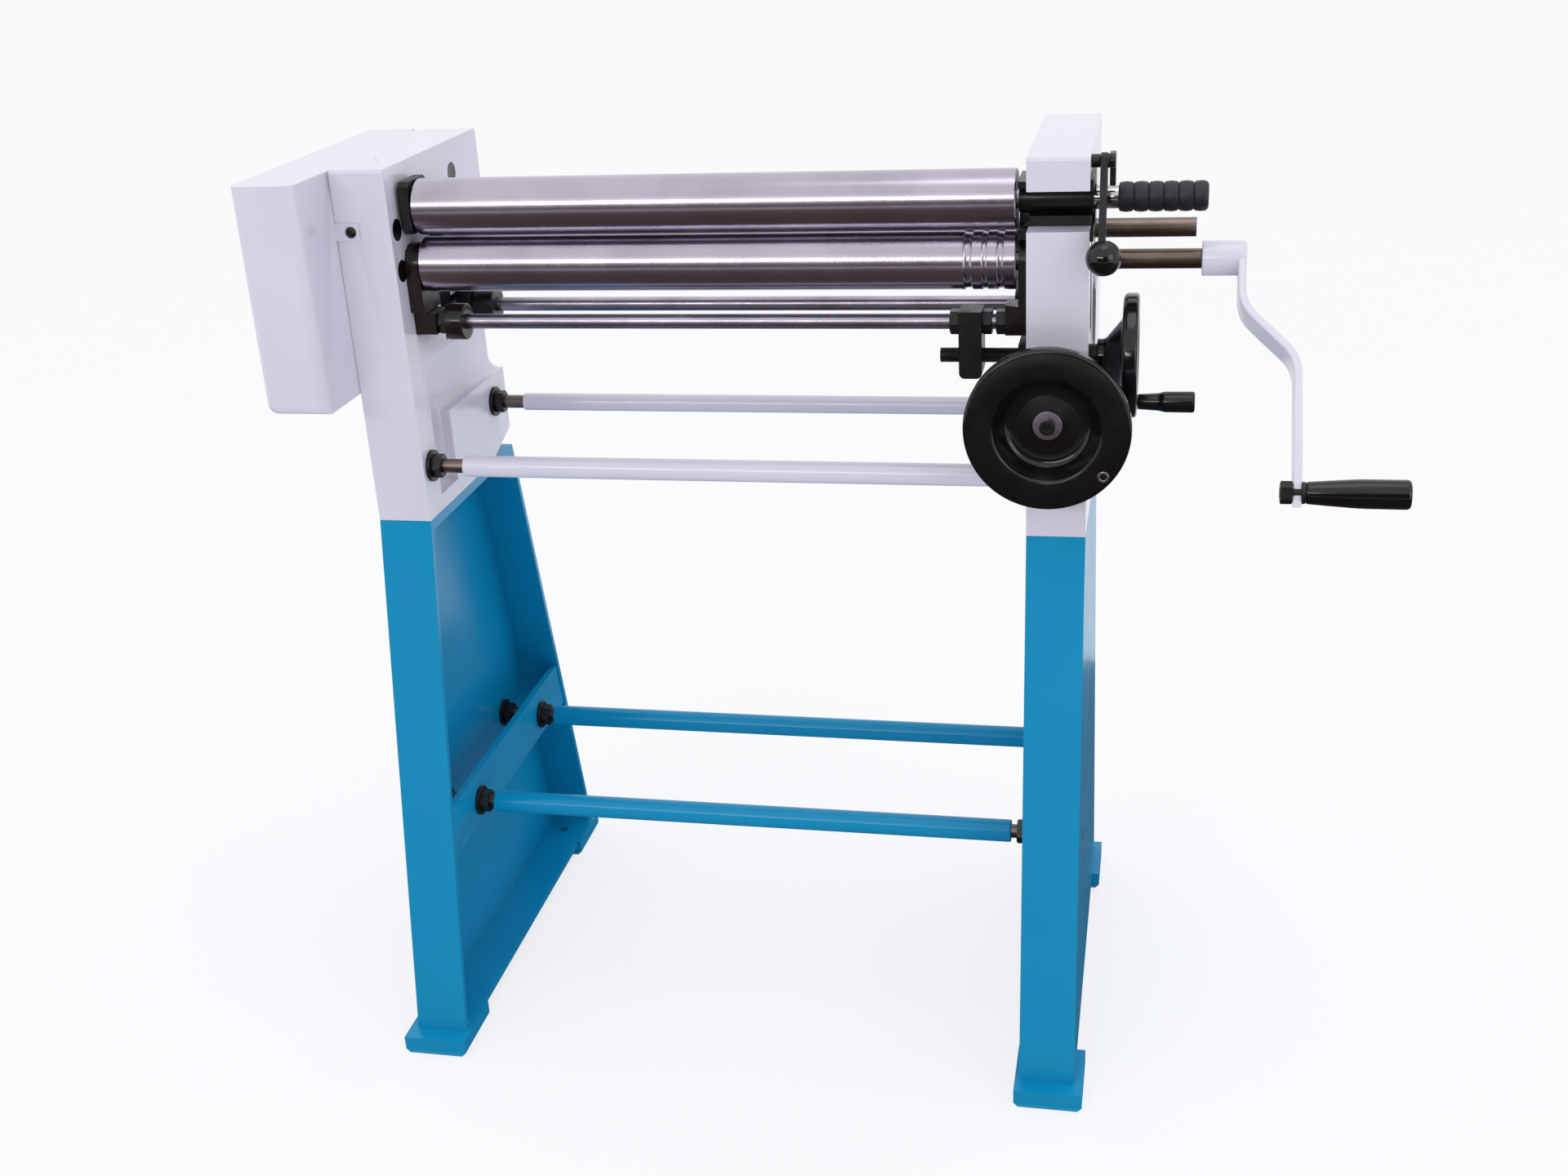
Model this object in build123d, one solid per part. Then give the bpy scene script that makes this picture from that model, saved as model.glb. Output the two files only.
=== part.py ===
from build123d import *
import math
import os

# Hand slip roll for thin sheet: two geared feed rolls, one rear bending roll, and cast housings
# on channel stands.
# X runs along the rolls to the crank, Y runs from the operator to the back, Z is up, all in millimetres.
# The origin lies on the floor at the centre of the four anchor holes.

# Cutting and fits
overrun = 3.0
running_fit = 0.06
slide_gap = 0.3
seat_gap = 0.1

# Overall frame
inner_gap = 672.0
housing_thickness = 62.0
housing_depth = 273.0
housing_height = 395.0
stand_height = 650.0
foot_length = 550.0
front_setback = 124.0

# Stand
leg_wall = 7.0
leg_corner = 12.0
top_plate_thickness = 12.0
toe_overhang = 17.0
heel_overhang = 7.0
foot_side_overhang = 10.0
foot_pad_length = 84.0
foot_pad_height = 22.0
foot_pad_bevel = 5.0
arch_height = 14.0
anchor_hole_radius = 6.5
anchor_inset = 52.0
cross_bar_bottom = 240.0
cross_bar_height = 63.0
cross_bar_thickness = 8.0
cross_bar_inset = 2.0

# Tie rods
rod_thread_radius = 8.0
nut_across = 24.0
nut_height = 11.0
washer_radius = 18.0
washer_thickness = 4.0
housing_rod_stub = 26.0
stand_rod_stub = 3.0
stand_rod_radius = 13.0
stand_rod_half_span = 116.0
stand_rod_rise = 27.0
front_rod_radius = 12.0
front_rod_inset = 23.0
front_rod_rise_share = 0.283
back_rod_radius = 10.5
back_rod_inset = 42.0
back_rod_rise_share = 0.3357
rod_thread_depth = 40.0

# Housing castings
housing_edge_round = 4.0
heel_cut_length = 70.0
heel_cut_height = 24.0
recess_depth = 18.0
recess_round = 14.0
front_column = 40.0
recess_top_share = 0.825
boss_top_share = 0.4892
valley_bottom_share = 0.0863
valley_width = 52.0
oil_hole_radius = 2.2
oil_hole_depth = 20.0
oil_hole_inset = 22.0
oil_hole_back = 74.0
bolt_shank_radius = 6.0
bolt_slot_length = 36.0
bolt_head_across = 19.0
bolt_head_height = 8.0
bolt_reach = 24.0
bolt_place_shares = (0.15, 0.5, 0.85)

# Rolls
roll_radius = 30.0
roll_gap = 2.5
roll_setback = 47.0
upper_axis_drop = 48.0
left_end_gap = 18.0
right_end_gap = 12.0
shoulder_gap = 2.0
roll_end_round = 1.5
journal_radius = 11.0
bush_wall = 2.5
rear_offset = 76.0
rear_rise = 15.5
rear_journal_radius = 11.0
rear_shaft_radius = 10.0
rear_shaft_reach = 104.0
groove_half_widths = (4.5, 3.0, 3.5)
groove_depth_share = 0.45
groove_insets = (49.0, 32.0, 16.0)

# Bearing blocks
block_half_width = 16.0
nose_half_width = 24.0
nose_drop = 62.0
lower_lift = 2.0
rear_raise = 12.0
rear_drop = 14.0
block_outer_inset = 2.0
rear_foot_relief = 6.0

# Lower roll wedges and their rod
adjust_travel = 16.0
wedge_length = 68.0
wedge_reach = 24.0
wedge_half_width = 15.5
wedge_height = 27.5
wedge_rod_radius = 8.0
wedge_rod_drop = 64.5
wedge_floor_drop = 76.0
rod_end_inset = 18.0
clamp_width = 24.0
clamp_depth = 36.0
clamp_inset = 48.0
clamp_above = 14.0
clamp_below = 21.0
clamp_round = 6.0
rod_collar_radius = 20.0
rod_collar_length = 21.0
lock_nut_height = 10.0

# Side adjusting screw and wheel
side_screw_radius = 8.0
side_screw_drop = 100.5
side_screw_reach = 93.0
side_plate_thickness = 10.0
side_plate_half_width = 22.0
side_plate_half_height = 17.0
screw_collar_radius = 12.0
screw_collar_length = 7.0
side_wheel_radius = 64.0
wheel_depth = 42.0
side_handle_offset = 49.5
side_handle_length = 58.0
side_handle_end_radius = 11.0
side_handle_neck_radius = 8.0
side_handle_edge_share = 0.25
handle_pin_radius = 4.0

# Shape shared by both handwheels, and the screw in their centres
hub_radius_share = 0.27
hub_length_share = 0.2
rim_inner_share = 0.62
rim_thickness_share = 0.38
rim_round_share = 0.05
dish_floor_share = 0.5
dish_inner_share = 0.5
boss_radius_share = 0.33
boss_height_share = 0.06
wheel_screw_washer_radius = 15.0
wheel_screw_washer = 2.0
wheel_screw_head_radius = 8.0
wheel_screw_head = 7.0
wheel_screw_socket_radius = 3.5

# Rear roll adjusting gear
front_wheel_radius = 84.5
front_screw_radius = 8.0
front_screw_inset = 24.0
front_screw_drop = 75.5
front_screw_tail = 16.0
front_collar_length = 8.0
insert_radius = 6.0
insert_depth = 10.0
insert_proud = 0.6
insert_radius_share = 0.88
insert_angle_degrees = -40.0
lift_shaft_radius = 8.0
lift_arm_length = 45.0
lift_shaft_drop = 91.5
lift_arm_width = 14.0
lift_arm_tip_radius = 9.0
lift_hub_radius = 14.0
lift_arm_inset = 12.0
drop_arm_width = 10.0
drop_arm_inset = 40.0
drop_arm_half_width = 11.0
travel_nut_size = 30.0
nut_pin_radius = 5.0
nut_pin_play = 1.2
cavity_margin = 4.0
access_plate_thickness = 2.5
access_plate_lap = 10.0
shaft_bracket_thickness = 18.0
shaft_bracket_front = 16.0
shaft_bracket_back = 26.0
shaft_bracket_half_height = 24.0
flange_collar_radius = 17.0
flange_collar_thickness = 6.0
clamp_collar_radius = 21.0
clamp_collar_length = 20.0
clamp_collar_inset = 25.0

# Swing-out end of the upper roll
swivel_inset = 22.0
swivel_radius = 16.0
swivel_half_height = 22.0
swivel_nose_half_height = 28.0
swivel_nose_half_width = 26.0
swivel_nose_chamfer = 5.0
swivel_nose_rise = 2.5
swivel_nose_gap = 5.0
swivel_neck_inset = 2.0
swivel_pin_radius = 6.0
swivel_pin_length = 22.0
swivel_pin_engaged = 5.0
sleeve_radius = 14.0
sleeve_wall = 4.0
sleeve_end_wall = 6.0
sleeve_reach = 2.0
slot_play = 0.7
slot_drop = 25.0
saddle_length = 18.0
keeper_thickness = 10.0
keeper_half_width = 30.0
keeper_rise = 22.0
wear_plate_thickness = 3.5
wear_plate_rise = 26.0
wear_plate_drop = 35.0
wear_plate_length = 70.0
stem_neck_radius = 12.0
stem_neck_length = 12.0
stem_collar_radius = 11.5
stem_collar_length = 12.5
grip_radius = 15.0
grip_length = 87.0
grip_core_radius = 6.0
grip_rib_count = 6
grip_groove_depth = 1.2
grip_groove_width = 2.4

# Release lever
lever_pivot_inset = 23.0
lever_pivot_drop = 8.0
lever_thickness = 7.0
lever_width = 16.0
lever_start_gap = 9.0
lever_length = 84.0
lever_lean_degrees = 26.0
catch_length = 36.0
ball_radius = 17.5
ball_reach = 96.5
ball_side_offset = 5.5
lever_hub_radius = 7.0
lever_hub_length = 2.0
pivot_pin_radius = 4.0
pivot_spacer_radius = 6.5
pivot_head_radius = 7.0
pivot_head_length = 5.0
pivot_depth = 20.0
roll_stop_start = 29.0
roll_stop_width = 15.0
roll_stop_reach = 22.0
roll_stop_thickness = 6.0
roll_stop_arm_height = 15.0
roll_stop_height = 50.0
roll_stop_drop = 12.0

# Feed gears
gear_module = 4.0
gear_teeth = 15
gear_backlash = 0.6
gear_width = 20.0
gear_gap = 8.0
gear_root_share = 1.25
flank_steps = 5
pressure_angle_degrees = 20.0
stub_shaft_radius = 9.0
stub_bush_wall = 3.0
stub_flange_radius = 17.0
stub_flange_thickness = 4.0
tongue_thickness = 8.0
tongue_length = 9.0
tongue_width_share = 0.9
tongue_play = 0.75
coupling_gap = 3.0
gear_nut_across = 30.0
gear_nut_height = 9.0

# Gear cover
cover_width = 72.0
cover_front_reach = 84.0
cover_back_reach = 2.0
cover_height = 245.0
cover_sheet = 2.0
cover_round = 12.0
cover_gap = 0.4
ear_length = 27.0
ear_height = 18.0
ear_drop = 65.0
ear_screw_inset = 9.0
ear_screw_radius = 3.0
ear_screw_head_radius = 6.0
ear_screw_head_height = 4.0
ear_screw_length = 14.0
cover_notch = 14.0

# Round plugs in the left housing's inner face: distance behind the front face, and below the top
plug_radius = 12.0
plug_depth = 6.0
plug_insets = (18.0, 17.5, 187.0)
plug_drops = (67.0, 111.5, 37.0)

# Crank
crank_shaft_radius = 10.0
crank_hub_start = 109.0
crank_hub_length = 43.0
crank_hub_radius = 17.0
crank_arm_thickness = 8.0
crank_arm_width = 30.0
crank_radius = 256.0
crank_offset = 53.0
crank_bend_start = 60.0
crank_bend_end = 118.0
crank_bend_round = 16.0
crank_angle_degrees = 45.0
crank_handle_length = 94.0
crank_handle_end_radius = 14.0
crank_handle_neck_radius = 10.5
crank_handle_edge_share = 0.2
crank_handle_gap = 4.0
crank_axle_radius = 6.0
crank_nut_across = 19.0
crank_nut_height = 12.0

# Places that follow from the sizes above
inner_x = inner_gap / 2
outer_x = inner_x + housing_thickness
mid_x = inner_x + housing_thickness / 2
front_y = front_setback - foot_length / 2
back_y = front_y + housing_depth
top_z = stand_height + housing_height
roll_y = front_y + roll_setback
upper_axis_z = top_z - upper_axis_drop
lower_axis_z = upper_axis_z - 2 * roll_radius - roll_gap
rear_y = roll_y + rear_offset
rear_axis_z = lower_axis_z + rear_rise
roll_left = -inner_x + left_end_gap
roll_right = inner_x - right_end_gap
wedge_slope = lower_lift / adjust_travel
wedge_rod_z = lower_axis_z - wedge_rod_drop
wedge_floor_z = lower_axis_z - wedge_floor_drop
side_screw_z = lower_axis_z - side_screw_drop
lift_shaft_z = rear_axis_z - lift_shaft_drop
front_screw_z = lift_shaft_z - front_screw_drop
stand_rod_z = cross_bar_bottom + stand_rod_rise
lift_shaft_y = rear_y + lift_arm_length
front_screw_x = inner_x + front_screw_inset
swivel_x = -inner_x - swivel_inset
block_outer_x = outer_x - block_outer_inset
lever_y = front_y + lever_pivot_inset
lever_z = top_z - lever_pivot_drop
lever_x = outer_x + lever_start_gap
collar_x = outer_x + sleeve_reach + stem_neck_length
gear_x = outer_x + gear_gap
rear_block_bottom = lift_shaft_z + lift_arm_tip_radius + slide_gap
sleeve_bore_radius = sleeve_radius - sleeve_wall
slot_half = sleeve_radius + slot_play


def block(x0, x1, y0, y1, z0, z1):
    """A box between two corners, in either order along X."""
    low, high = min(x0, x1), max(x0, x1)
    solid = Box(high - low, y1 - y0, z1 - z0)
    return Pos((low + high) / 2, (y0 + y1) / 2, (z0 + z1) / 2) * solid


def bar_x(y, z, radius, x0, x1):
    """A round bar along X."""
    return Pos((x0 + x1) / 2, y, z) * Rot(0, 90, 0) * Cylinder(radius, abs(x1 - x0))


def bar_y(x, z, radius, y0, y1):
    """A round bar along Y."""
    return Pos(x, (y0 + y1) / 2, z) * Rot(90, 0, 0) * Cylinder(radius, abs(y1 - y0))


def bar_z(x, y, radius, z0, z1):
    """A round bar along Z."""
    return Pos(x, y, (z0 + z1) / 2) * Cylinder(radius, abs(z1 - z0))


def slot_z(x, y, radius, length, z0, z1):
    """A slot along Y with round ends, cut along Z."""
    half = length / 2 - radius
    ends = bar_z(x, y - half, radius, z0, z1) + bar_z(x, y + half, radius, z0, z1)
    return ends + block(x - radius, x + radius, y - half, y + half, z0, z1)


def hex_x(y, z, across, x0, x1):
    """A hexagonal prism along X."""
    outline = RegularPolygon(across / 2, 6, major_radius=False)
    return extrude(Plane.YZ.offset(min(x0, x1)) * Pos(y, z) * outline, abs(x1 - x0))


def hex_z(x, y, across, z0, z1):
    """A hexagonal prism along Z."""
    outline = RegularPolygon(across / 2, 6, major_radius=False)
    return extrude(Plane.XY.offset(z0) * Pos(x, y) * outline, z1 - z0)


def plate_x(points, x0, x1, corner=0):
    """A plate across X with a Y, Z outline and rounded corners."""
    face = make_face(Polyline(points, close=True))
    if corner > 0:
        face = fillet(face.vertices(), corner)
    return extrude(Plane.YZ.offset(min(x0, x1)) * face, abs(x1 - x0))


def turned_x(profile, y, z):
    """A turned piece along X from points of place and radius."""
    face = make_face(Polyline(profile, close=True))
    return Pos(0, y, z) * revolve(face, axis=Axis.X, revolution_arc=360)


def turned_y(profile, x, z):
    """A turned piece along Y from points of place and radius."""
    face = make_face(Polyline([(radius, place) for place, radius in profile], close=True))
    return Pos(x, 0, z) * revolve(face, axis=Axis.Y, revolution_arc=360)


def rounded_bar_x(y, z, radius, x0, x1, edge):
    """A round bar along X with a rounded rim at both ends."""
    bar = bar_x(y, z, radius, x0, x1)
    return fillet(bar.edges().filter_by(GeomType.CIRCLE), edge)


# Stands

def stand_edge(z, front):
    """The Y place of the stand's sloping front or back edge at a height."""
    toe = -foot_length / 2 + toe_overhang
    heel = foot_length / 2 - heel_overhang
    low, high = (toe, front_y) if front else (heel, back_y)
    return low + (high - low) * z / stand_height


def stand_outline(z0, z1, wall):
    """The stand's side outline between two heights, drawn in by a wall."""
    return [
        (stand_edge(z0, True) + wall, z0),
        (stand_edge(z0, False) - wall, z0),
        (stand_edge(z1, False) - wall, z1),
        (stand_edge(z1, True) + wall, z1),
    ]


def foot_pads(side):
    """The two thick pads that a stand rests on, with bevelled lower side edges."""
    pads = []
    x0 = side * (inner_x - foot_side_overhang / 2)
    x1 = side * (outer_x + foot_side_overhang)
    for end in (-1, 1):
        y0 = end * foot_length / 2
        y1 = end * (foot_length / 2 - foot_pad_length)
        pad = block(x0, x1, min(y0, y1), max(y0, y1), 0, foot_pad_height)
        low_edges = pad.edges().filter_by(Axis.Y).group_by(Axis.Z)[0]
        pads.append(chamfer(low_edges, foot_pad_bevel))
    return pads


def anchor_places(side):
    """Centres of one stand's two anchor holes."""
    reach = foot_length / 2 - anchor_inset
    return [(side * mid_x, -reach), (side * mid_x, reach)]


def housing_bolt_places(side):
    """Centres of the bolts that hold one housing on its stand."""
    seat = housing_depth - heel_cut_length
    return [(side * mid_x, front_y + share * seat) for share in bolt_place_shares]


def make_stand(side):
    """A channel stand: web outside, flanges inwards, a top plate and a bar for the tie rods."""
    inner, outer = side * inner_x, side * outer_x
    web = side * (outer_x - leg_wall)
    mouth = side * (inner_x - overrun)
    stand = plate_x(stand_outline(0, stand_height, 0), inner, outer)
    pocket_top = stand_height - top_plate_thickness
    stand -= plate_x(stand_outline(foot_pad_height, pocket_top, leg_wall), mouth, web, leg_corner)
    arch_y = foot_length / 2 - foot_pad_length
    stand -= block(mouth, side * (outer_x + overrun), -arch_y, arch_y, -overrun, arch_height)
    for pad in foot_pads(side):
        stand += pad
    bar_top = cross_bar_bottom + cross_bar_height
    bar_inner = side * (inner_x + cross_bar_inset)
    bar_outer = side * (inner_x + cross_bar_inset + cross_bar_thickness)
    stand += plate_x(stand_outline(cross_bar_bottom, bar_top, leg_wall / 2), bar_inner, bar_outer)
    for x, y in anchor_places(side):
        stand -= bar_z(x, y, anchor_hole_radius, -overrun, foot_pad_height + overrun)
    slot_radius = bolt_shank_radius + seat_gap
    low, high = pocket_top - overrun, stand_height + overrun
    for x, y in housing_bolt_places(side):
        stand -= slot_z(x, y, slot_radius, bolt_slot_length, low, high)
    for y in (-stand_rod_half_span, stand_rod_half_span):
        stand -= bar_x(y, stand_rod_z, rod_thread_radius + seat_gap, mouth, side * (outer_x + overrun))
    return stand


def make_stand_rod(y):
    """A stand tie rod: thick middle, turned down ends that reach through bar and web."""
    shoulder = inner_x - cross_bar_inset - nut_height - washer_thickness - stand_rod_stub
    rod = bar_x(y, stand_rod_z, stand_rod_radius, -shoulder, shoulder)
    return rod + bar_x(y, stand_rod_z, rod_thread_radius, -outer_x, outer_x)


def locked_nut(y, z, seat, direction):
    """A nut and washer bored for the rod thread."""
    washer_end = seat + direction * washer_thickness
    nut_end = washer_end + direction * nut_height
    stack = bar_x(y, z, washer_radius, seat, washer_end) + hex_x(y, z, nut_across, washer_end, nut_end)
    bore = bar_x(y, z, rod_thread_radius, seat - direction * overrun, nut_end + direction * overrun)
    return stack - bore


def make_stand_rod_nuts():
    """Nuts and washers that lock the stand rods to the bars and webs."""
    nuts = []
    for side in (-1, 1):
        for y in (-stand_rod_half_span, stand_rod_half_span):
            nuts.append(locked_nut(y, stand_rod_z, side * (inner_x + cross_bar_inset), -side))
            nuts.append(locked_nut(y, stand_rod_z, side * (outer_x - leg_wall), -side))
    return nuts


def make_housing_bolts():
    """Hexagon bolts up through the stands' top plates into the housings."""
    bolts = []
    seat_z = stand_height - top_plate_thickness
    for side in (-1, 1):
        for x, y in housing_bolt_places(side):
            head = hex_z(x, y, bolt_head_across, seat_z - bolt_head_height, seat_z)
            bolts.append(head + bar_z(x, y, bolt_shank_radius, seat_z, stand_height + bolt_reach))
    return bolts


# Housings

def side_height(share):
    """A height in the housings' lower part, as a share of the way from the stand to the wedges' floor."""
    return stand_height + share * (wedge_floor_z - stand_height)


def housing_rods():
    """Place, height and radius of the front and back housing tie rods."""
    front = (front_y + front_rod_inset, side_height(front_rod_rise_share), front_rod_radius)
    back = (back_y - back_rod_inset, side_height(back_rod_rise_share), back_rod_radius)
    return front, back


def housing_body(side):
    """The plain casting with its cut heel and rounded edges."""
    outline = [
        (front_y, stand_height),
        (back_y - heel_cut_length, stand_height),
        (back_y, stand_height + heel_cut_height),
        (back_y, top_z),
        (front_y, top_z),
    ]
    body = plate_x(outline, side * inner_x, side * outer_x)
    return fillet(body.edges().filter_by(Axis.X).group_by(Axis.Z)[-1], housing_edge_round)


def block_window(side, y, z0, z1):
    """The tool for a guide window right through a housing."""
    half = block_half_width + slide_gap
    return block(side * (inner_x - overrun), side * (outer_x + overrun), y - half, y + half, z0, z1)


def lift_cavity(side):
    """The tool for the space where a lifting arm swings."""
    reach = lift_arm_tip_radius + cavity_margin
    y0, y1 = rear_y - reach, lift_shaft_y + lift_hub_radius + cavity_margin
    z0 = lift_shaft_z - rear_drop - reach
    z1 = lift_shaft_z + lift_hub_radius + cavity_margin
    return block(side * (inner_x - overrun), side * (outer_x + overrun), y0, y1, z0, z1)


def common_housing(side):
    """What both housings share: guide windows, lifting space, rod holes and bolt holes."""
    body = housing_body(side)
    half = block_half_width
    body -= block_window(side, roll_y, wedge_floor_z, lower_axis_z + half + lower_lift + slide_gap)
    rear_top = rear_axis_z + half + rear_raise + slide_gap
    body -= block_window(side, rear_y, rear_axis_z - half, rear_top)
    body -= block_window(side, rear_y, rear_block_bottom - rear_drop - cavity_margin, rear_axis_z)
    body -= lift_cavity(side)
    for y, z, _ in housing_rods():
        x0 = side * (inner_x - overrun)
        body -= bar_x(y, z, rod_thread_radius + seat_gap, x0, side * (inner_x + rod_thread_depth))
    for x, y in housing_bolt_places(side):
        depth = stand_height + bolt_reach + seat_gap
        body -= bar_z(x, y, bolt_shank_radius + seat_gap, stand_height - overrun, depth)
    return body


def recess(side, y0, y1, z0, z1):
    """The tool for a rounded recess in a housing's inner face."""
    tool = block(side * (inner_x - recess_round), side * (inner_x + recess_depth), y0, y1, z0, z1)
    floor = tool.faces().sort_by(Axis.X)[0 if side < 0 else -1]
    return fillet(floor.edges(), recess_round)


def make_left_housing():
    """The left casting, with the swivel seat, gear shaft bore, recesses and plug seats."""
    body = common_housing(-1)
    half, tall = swivel_radius + slide_gap, swivel_half_height + slide_gap
    z0, z1 = upper_axis_z - tall, upper_axis_z + tall
    body -= block(-inner_x + overrun, swivel_x - half, roll_y - half, roll_y + half, z0, z1)
    pin_reach = swivel_half_height + swivel_pin_length - swivel_pin_engaged + seat_gap
    radius = swivel_pin_radius + seat_gap
    body -= bar_z(swivel_x, roll_y, radius, upper_axis_z - pin_reach, upper_axis_z + pin_reach)
    bore = stub_shaft_radius + stub_bush_wall
    body -= bar_x(roll_y, upper_axis_z, bore, swivel_x, -outer_x - overrun)
    valley = front_y + front_column
    far = back_y + overrun + recess_round
    recess_top = side_height(recess_top_share)
    body -= recess(-1, valley, far, side_height(boss_top_share), recess_top)
    low = side_height(valley_bottom_share)
    body -= recess(-1, valley, valley + valley_width, low, recess_top)
    for inset, drop in zip(plug_insets, plug_drops):
        floor = -inner_x - plug_depth
        body -= bar_x(front_y + inset, top_z - drop, plug_radius, -inner_x + overrun, floor)
    oil_x, oil_y = -outer_x + oil_hole_inset, front_y + oil_hole_back
    body -= bar_z(oil_x, oil_y, oil_hole_radius, top_z - oil_hole_depth, top_z + overrun)
    for screw_y, reach in cover_screw_ends():
        x = -outer_x + ear_length - ear_screw_inset
        body -= bar_y(x, top_z - ear_drop, ear_screw_radius, screw_y, screw_y + reach)
    return body


def sleeve_slot(x0, x1, y0):
    """The tool for the slot that the journal sleeve swings out of, deeper below it than above it."""
    low, high = upper_axis_z - slot_drop, upper_axis_z + slot_half
    return block(x0, x1, y0, roll_y, low, high) + bar_x(roll_y, upper_axis_z, slot_half, x0, x1)


def drop_cavity_box():
    """Low and high Y, and low and high Z, of the space for the travelling nut in the right housing."""
    reach = travel_nut_size / 2 + cavity_margin
    y0 = lift_shaft_y - nut_forward() - reach
    y1 = lift_shaft_y + nut_backward() + reach
    z0 = front_screw_z - travel_nut_size / 2 - cavity_margin
    z1 = lift_shaft_z + lift_hub_radius + cavity_margin
    return y0, y1, z0, z1


def arm_ratio():
    """How far the nut travels for each unit of lift."""
    return (lift_shaft_z - front_screw_z) / lift_arm_length


def nut_forward():
    """Nut travel towards the front when the rear roll is at its highest."""
    return rear_raise * arm_ratio()


def nut_backward():
    """Nut travel towards the back when the rear roll is at its lowest."""
    return rear_drop * arm_ratio()


def make_right_housing():
    """The right casting, with the open slot for the upper roll and the room for the adjusting gear."""
    body = common_housing(1)
    x0, x1 = inner_x - overrun, outer_x + overrun
    body -= sleeve_slot(x0, x1, front_y - overrun)
    body -= bar_x(roll_y, side_screw_z, screw_collar_radius, x0, x1)
    y0, y1, z0, z1 = drop_cavity_box()
    body -= block(inner_x + leg_wall, x1, y0, y1, z0, z1)
    radius = front_screw_radius + running_fit
    tail = y1 + front_screw_tail + seat_gap
    body -= bar_y(front_screw_x, front_screw_z, radius, front_y - overrun, tail)
    body -= bar_x(lever_y, lever_z, pivot_pin_radius + seat_gap, outer_x - pivot_depth - seat_gap, x1)
    return body


def make_housing_rod(index):
    """A housing tie rod with a thick painted middle and turned down steel ends."""
    y, z, radius = housing_rods()[index]
    shoulder = inner_x - washer_thickness - nut_height - housing_rod_stub
    rod = bar_x(y, z, radius, -shoulder, shoulder)
    end = inner_x + rod_thread_depth - seat_gap
    return rod + bar_x(y, z, rod_thread_radius, -end, end)


def make_housing_rod_nuts():
    """Nuts and washers that lock the housing rods against the inner faces."""
    nuts = []
    for side in (-1, 1):
        for y, z, _ in housing_rods():
            nuts.append(locked_nut(y, z, side * inner_x, -side))
    return nuts


def make_face_plugs():
    """Round plugs in the left housing's inner face."""
    plugs = []
    for inset, drop in zip(plug_insets, plug_drops):
        start, end = -inner_x - plug_depth, -inner_x
        plugs.append(bar_x(front_y + inset, top_z - drop, plug_radius, start, end))
    return plugs


# Rolls

def make_upper_roll():
    """The upper roll: slotted left journal for the drive tongue, thin right journal in its sleeve."""
    roll = rounded_bar_x(roll_y, upper_axis_z, roll_radius, roll_left, roll_right, roll_end_round)
    face = swivel_x - tongue_length / 2 + coupling_gap
    roll += bar_x(roll_y, upper_axis_z, journal_radius, face, roll_left)
    inside = outer_x + sleeve_reach - sleeve_end_wall - shoulder_gap
    roll += bar_x(roll_y, upper_axis_z, sleeve_bore_radius - running_fit, roll_right, inside)
    half = tongue_thickness / 2 + tongue_play
    slot_end = swivel_x + tongue_length / 2 + tongue_play * 2
    y0, y1 = roll_y - journal_radius - overrun, roll_y + journal_radius + overrun
    return roll - block(face - overrun, slot_end, y0, y1, upper_axis_z - half, upper_axis_z + half)


def make_lower_roll():
    """The lower roll: wire grooves near its right end, gear seat at the left, crank shaft at the right."""
    roll = rounded_bar_x(roll_y, lower_axis_z, roll_radius, roll_left, roll_right, roll_end_round)
    for half_width, inset in zip(groove_half_widths, groove_insets):
        depth = half_width * groove_depth_share
        radius = (half_width ** 2 + depth ** 2) / depth / 2
        ring = Rot(0, 90, 0) * Torus(roll_radius + radius - depth, radius)
        roll -= Pos(roll_right - inset, roll_y, lower_axis_z) * ring
    gear_end = -gear_x - gear_width
    roll += bar_x(roll_y, lower_axis_z, journal_radius, -block_outer_x, roll_left)
    roll += bar_x(roll_y, lower_axis_z, stub_shaft_radius, gear_end - gear_nut_height, -block_outer_x)
    roll += bar_x(roll_y, lower_axis_z, journal_radius, roll_right, block_outer_x)
    hub_end = outer_x + crank_hub_start + crank_hub_length
    return roll + bar_x(roll_y, lower_axis_z, crank_shaft_radius, block_outer_x, hub_end)


def make_rear_roll():
    """The rear bending roll, whose right journal runs on as a bare shaft."""
    roll = rounded_bar_x(rear_y, rear_axis_z, roll_radius, roll_left, roll_right, roll_end_round)
    roll += bar_x(rear_y, rear_axis_z, rear_journal_radius, -block_outer_x, block_outer_x)
    return roll + bar_x(rear_y, rear_axis_z, rear_shaft_radius, block_outer_x, outer_x + rear_shaft_reach)


# Bearing blocks

def nose_inner_x(side):
    """Inner face of a bearing nose, just clear of the roll's end face."""
    gap = left_end_gap if side < 0 else right_end_gap
    return side * (inner_x - gap + shoulder_gap)


def make_lower_block(side):
    """A lower roll bearing block: arched nose, guided body and a sloping foot on the wedge."""
    nose_face = nose_inner_x(side)
    nose_back = side * (inner_x - slide_gap)
    outer = side * block_outer_x
    wedge_top = wedge_floor_z + wedge_height + 2 * slide_gap
    y0, y1 = roll_y - nose_half_width, roll_y + nose_half_width
    shape = block(nose_face, nose_back, y0, y1, lower_axis_z - nose_drop, lower_axis_z)
    shape += bar_x(roll_y, lower_axis_z, nose_half_width, nose_face, nose_back)
    half = block_half_width
    shape += block(nose_face, outer, roll_y - half, roll_y + half, wedge_top - wedge_height, lower_axis_z)
    shape += bar_x(roll_y, lower_axis_z, half, nose_face, outer)
    shape -= wedge_space(side, wedge_top)
    bore = journal_radius + bush_wall
    return shape - bar_x(roll_y, lower_axis_z, bore, nose_face - side * overrun, outer + side * overrun)


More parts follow.
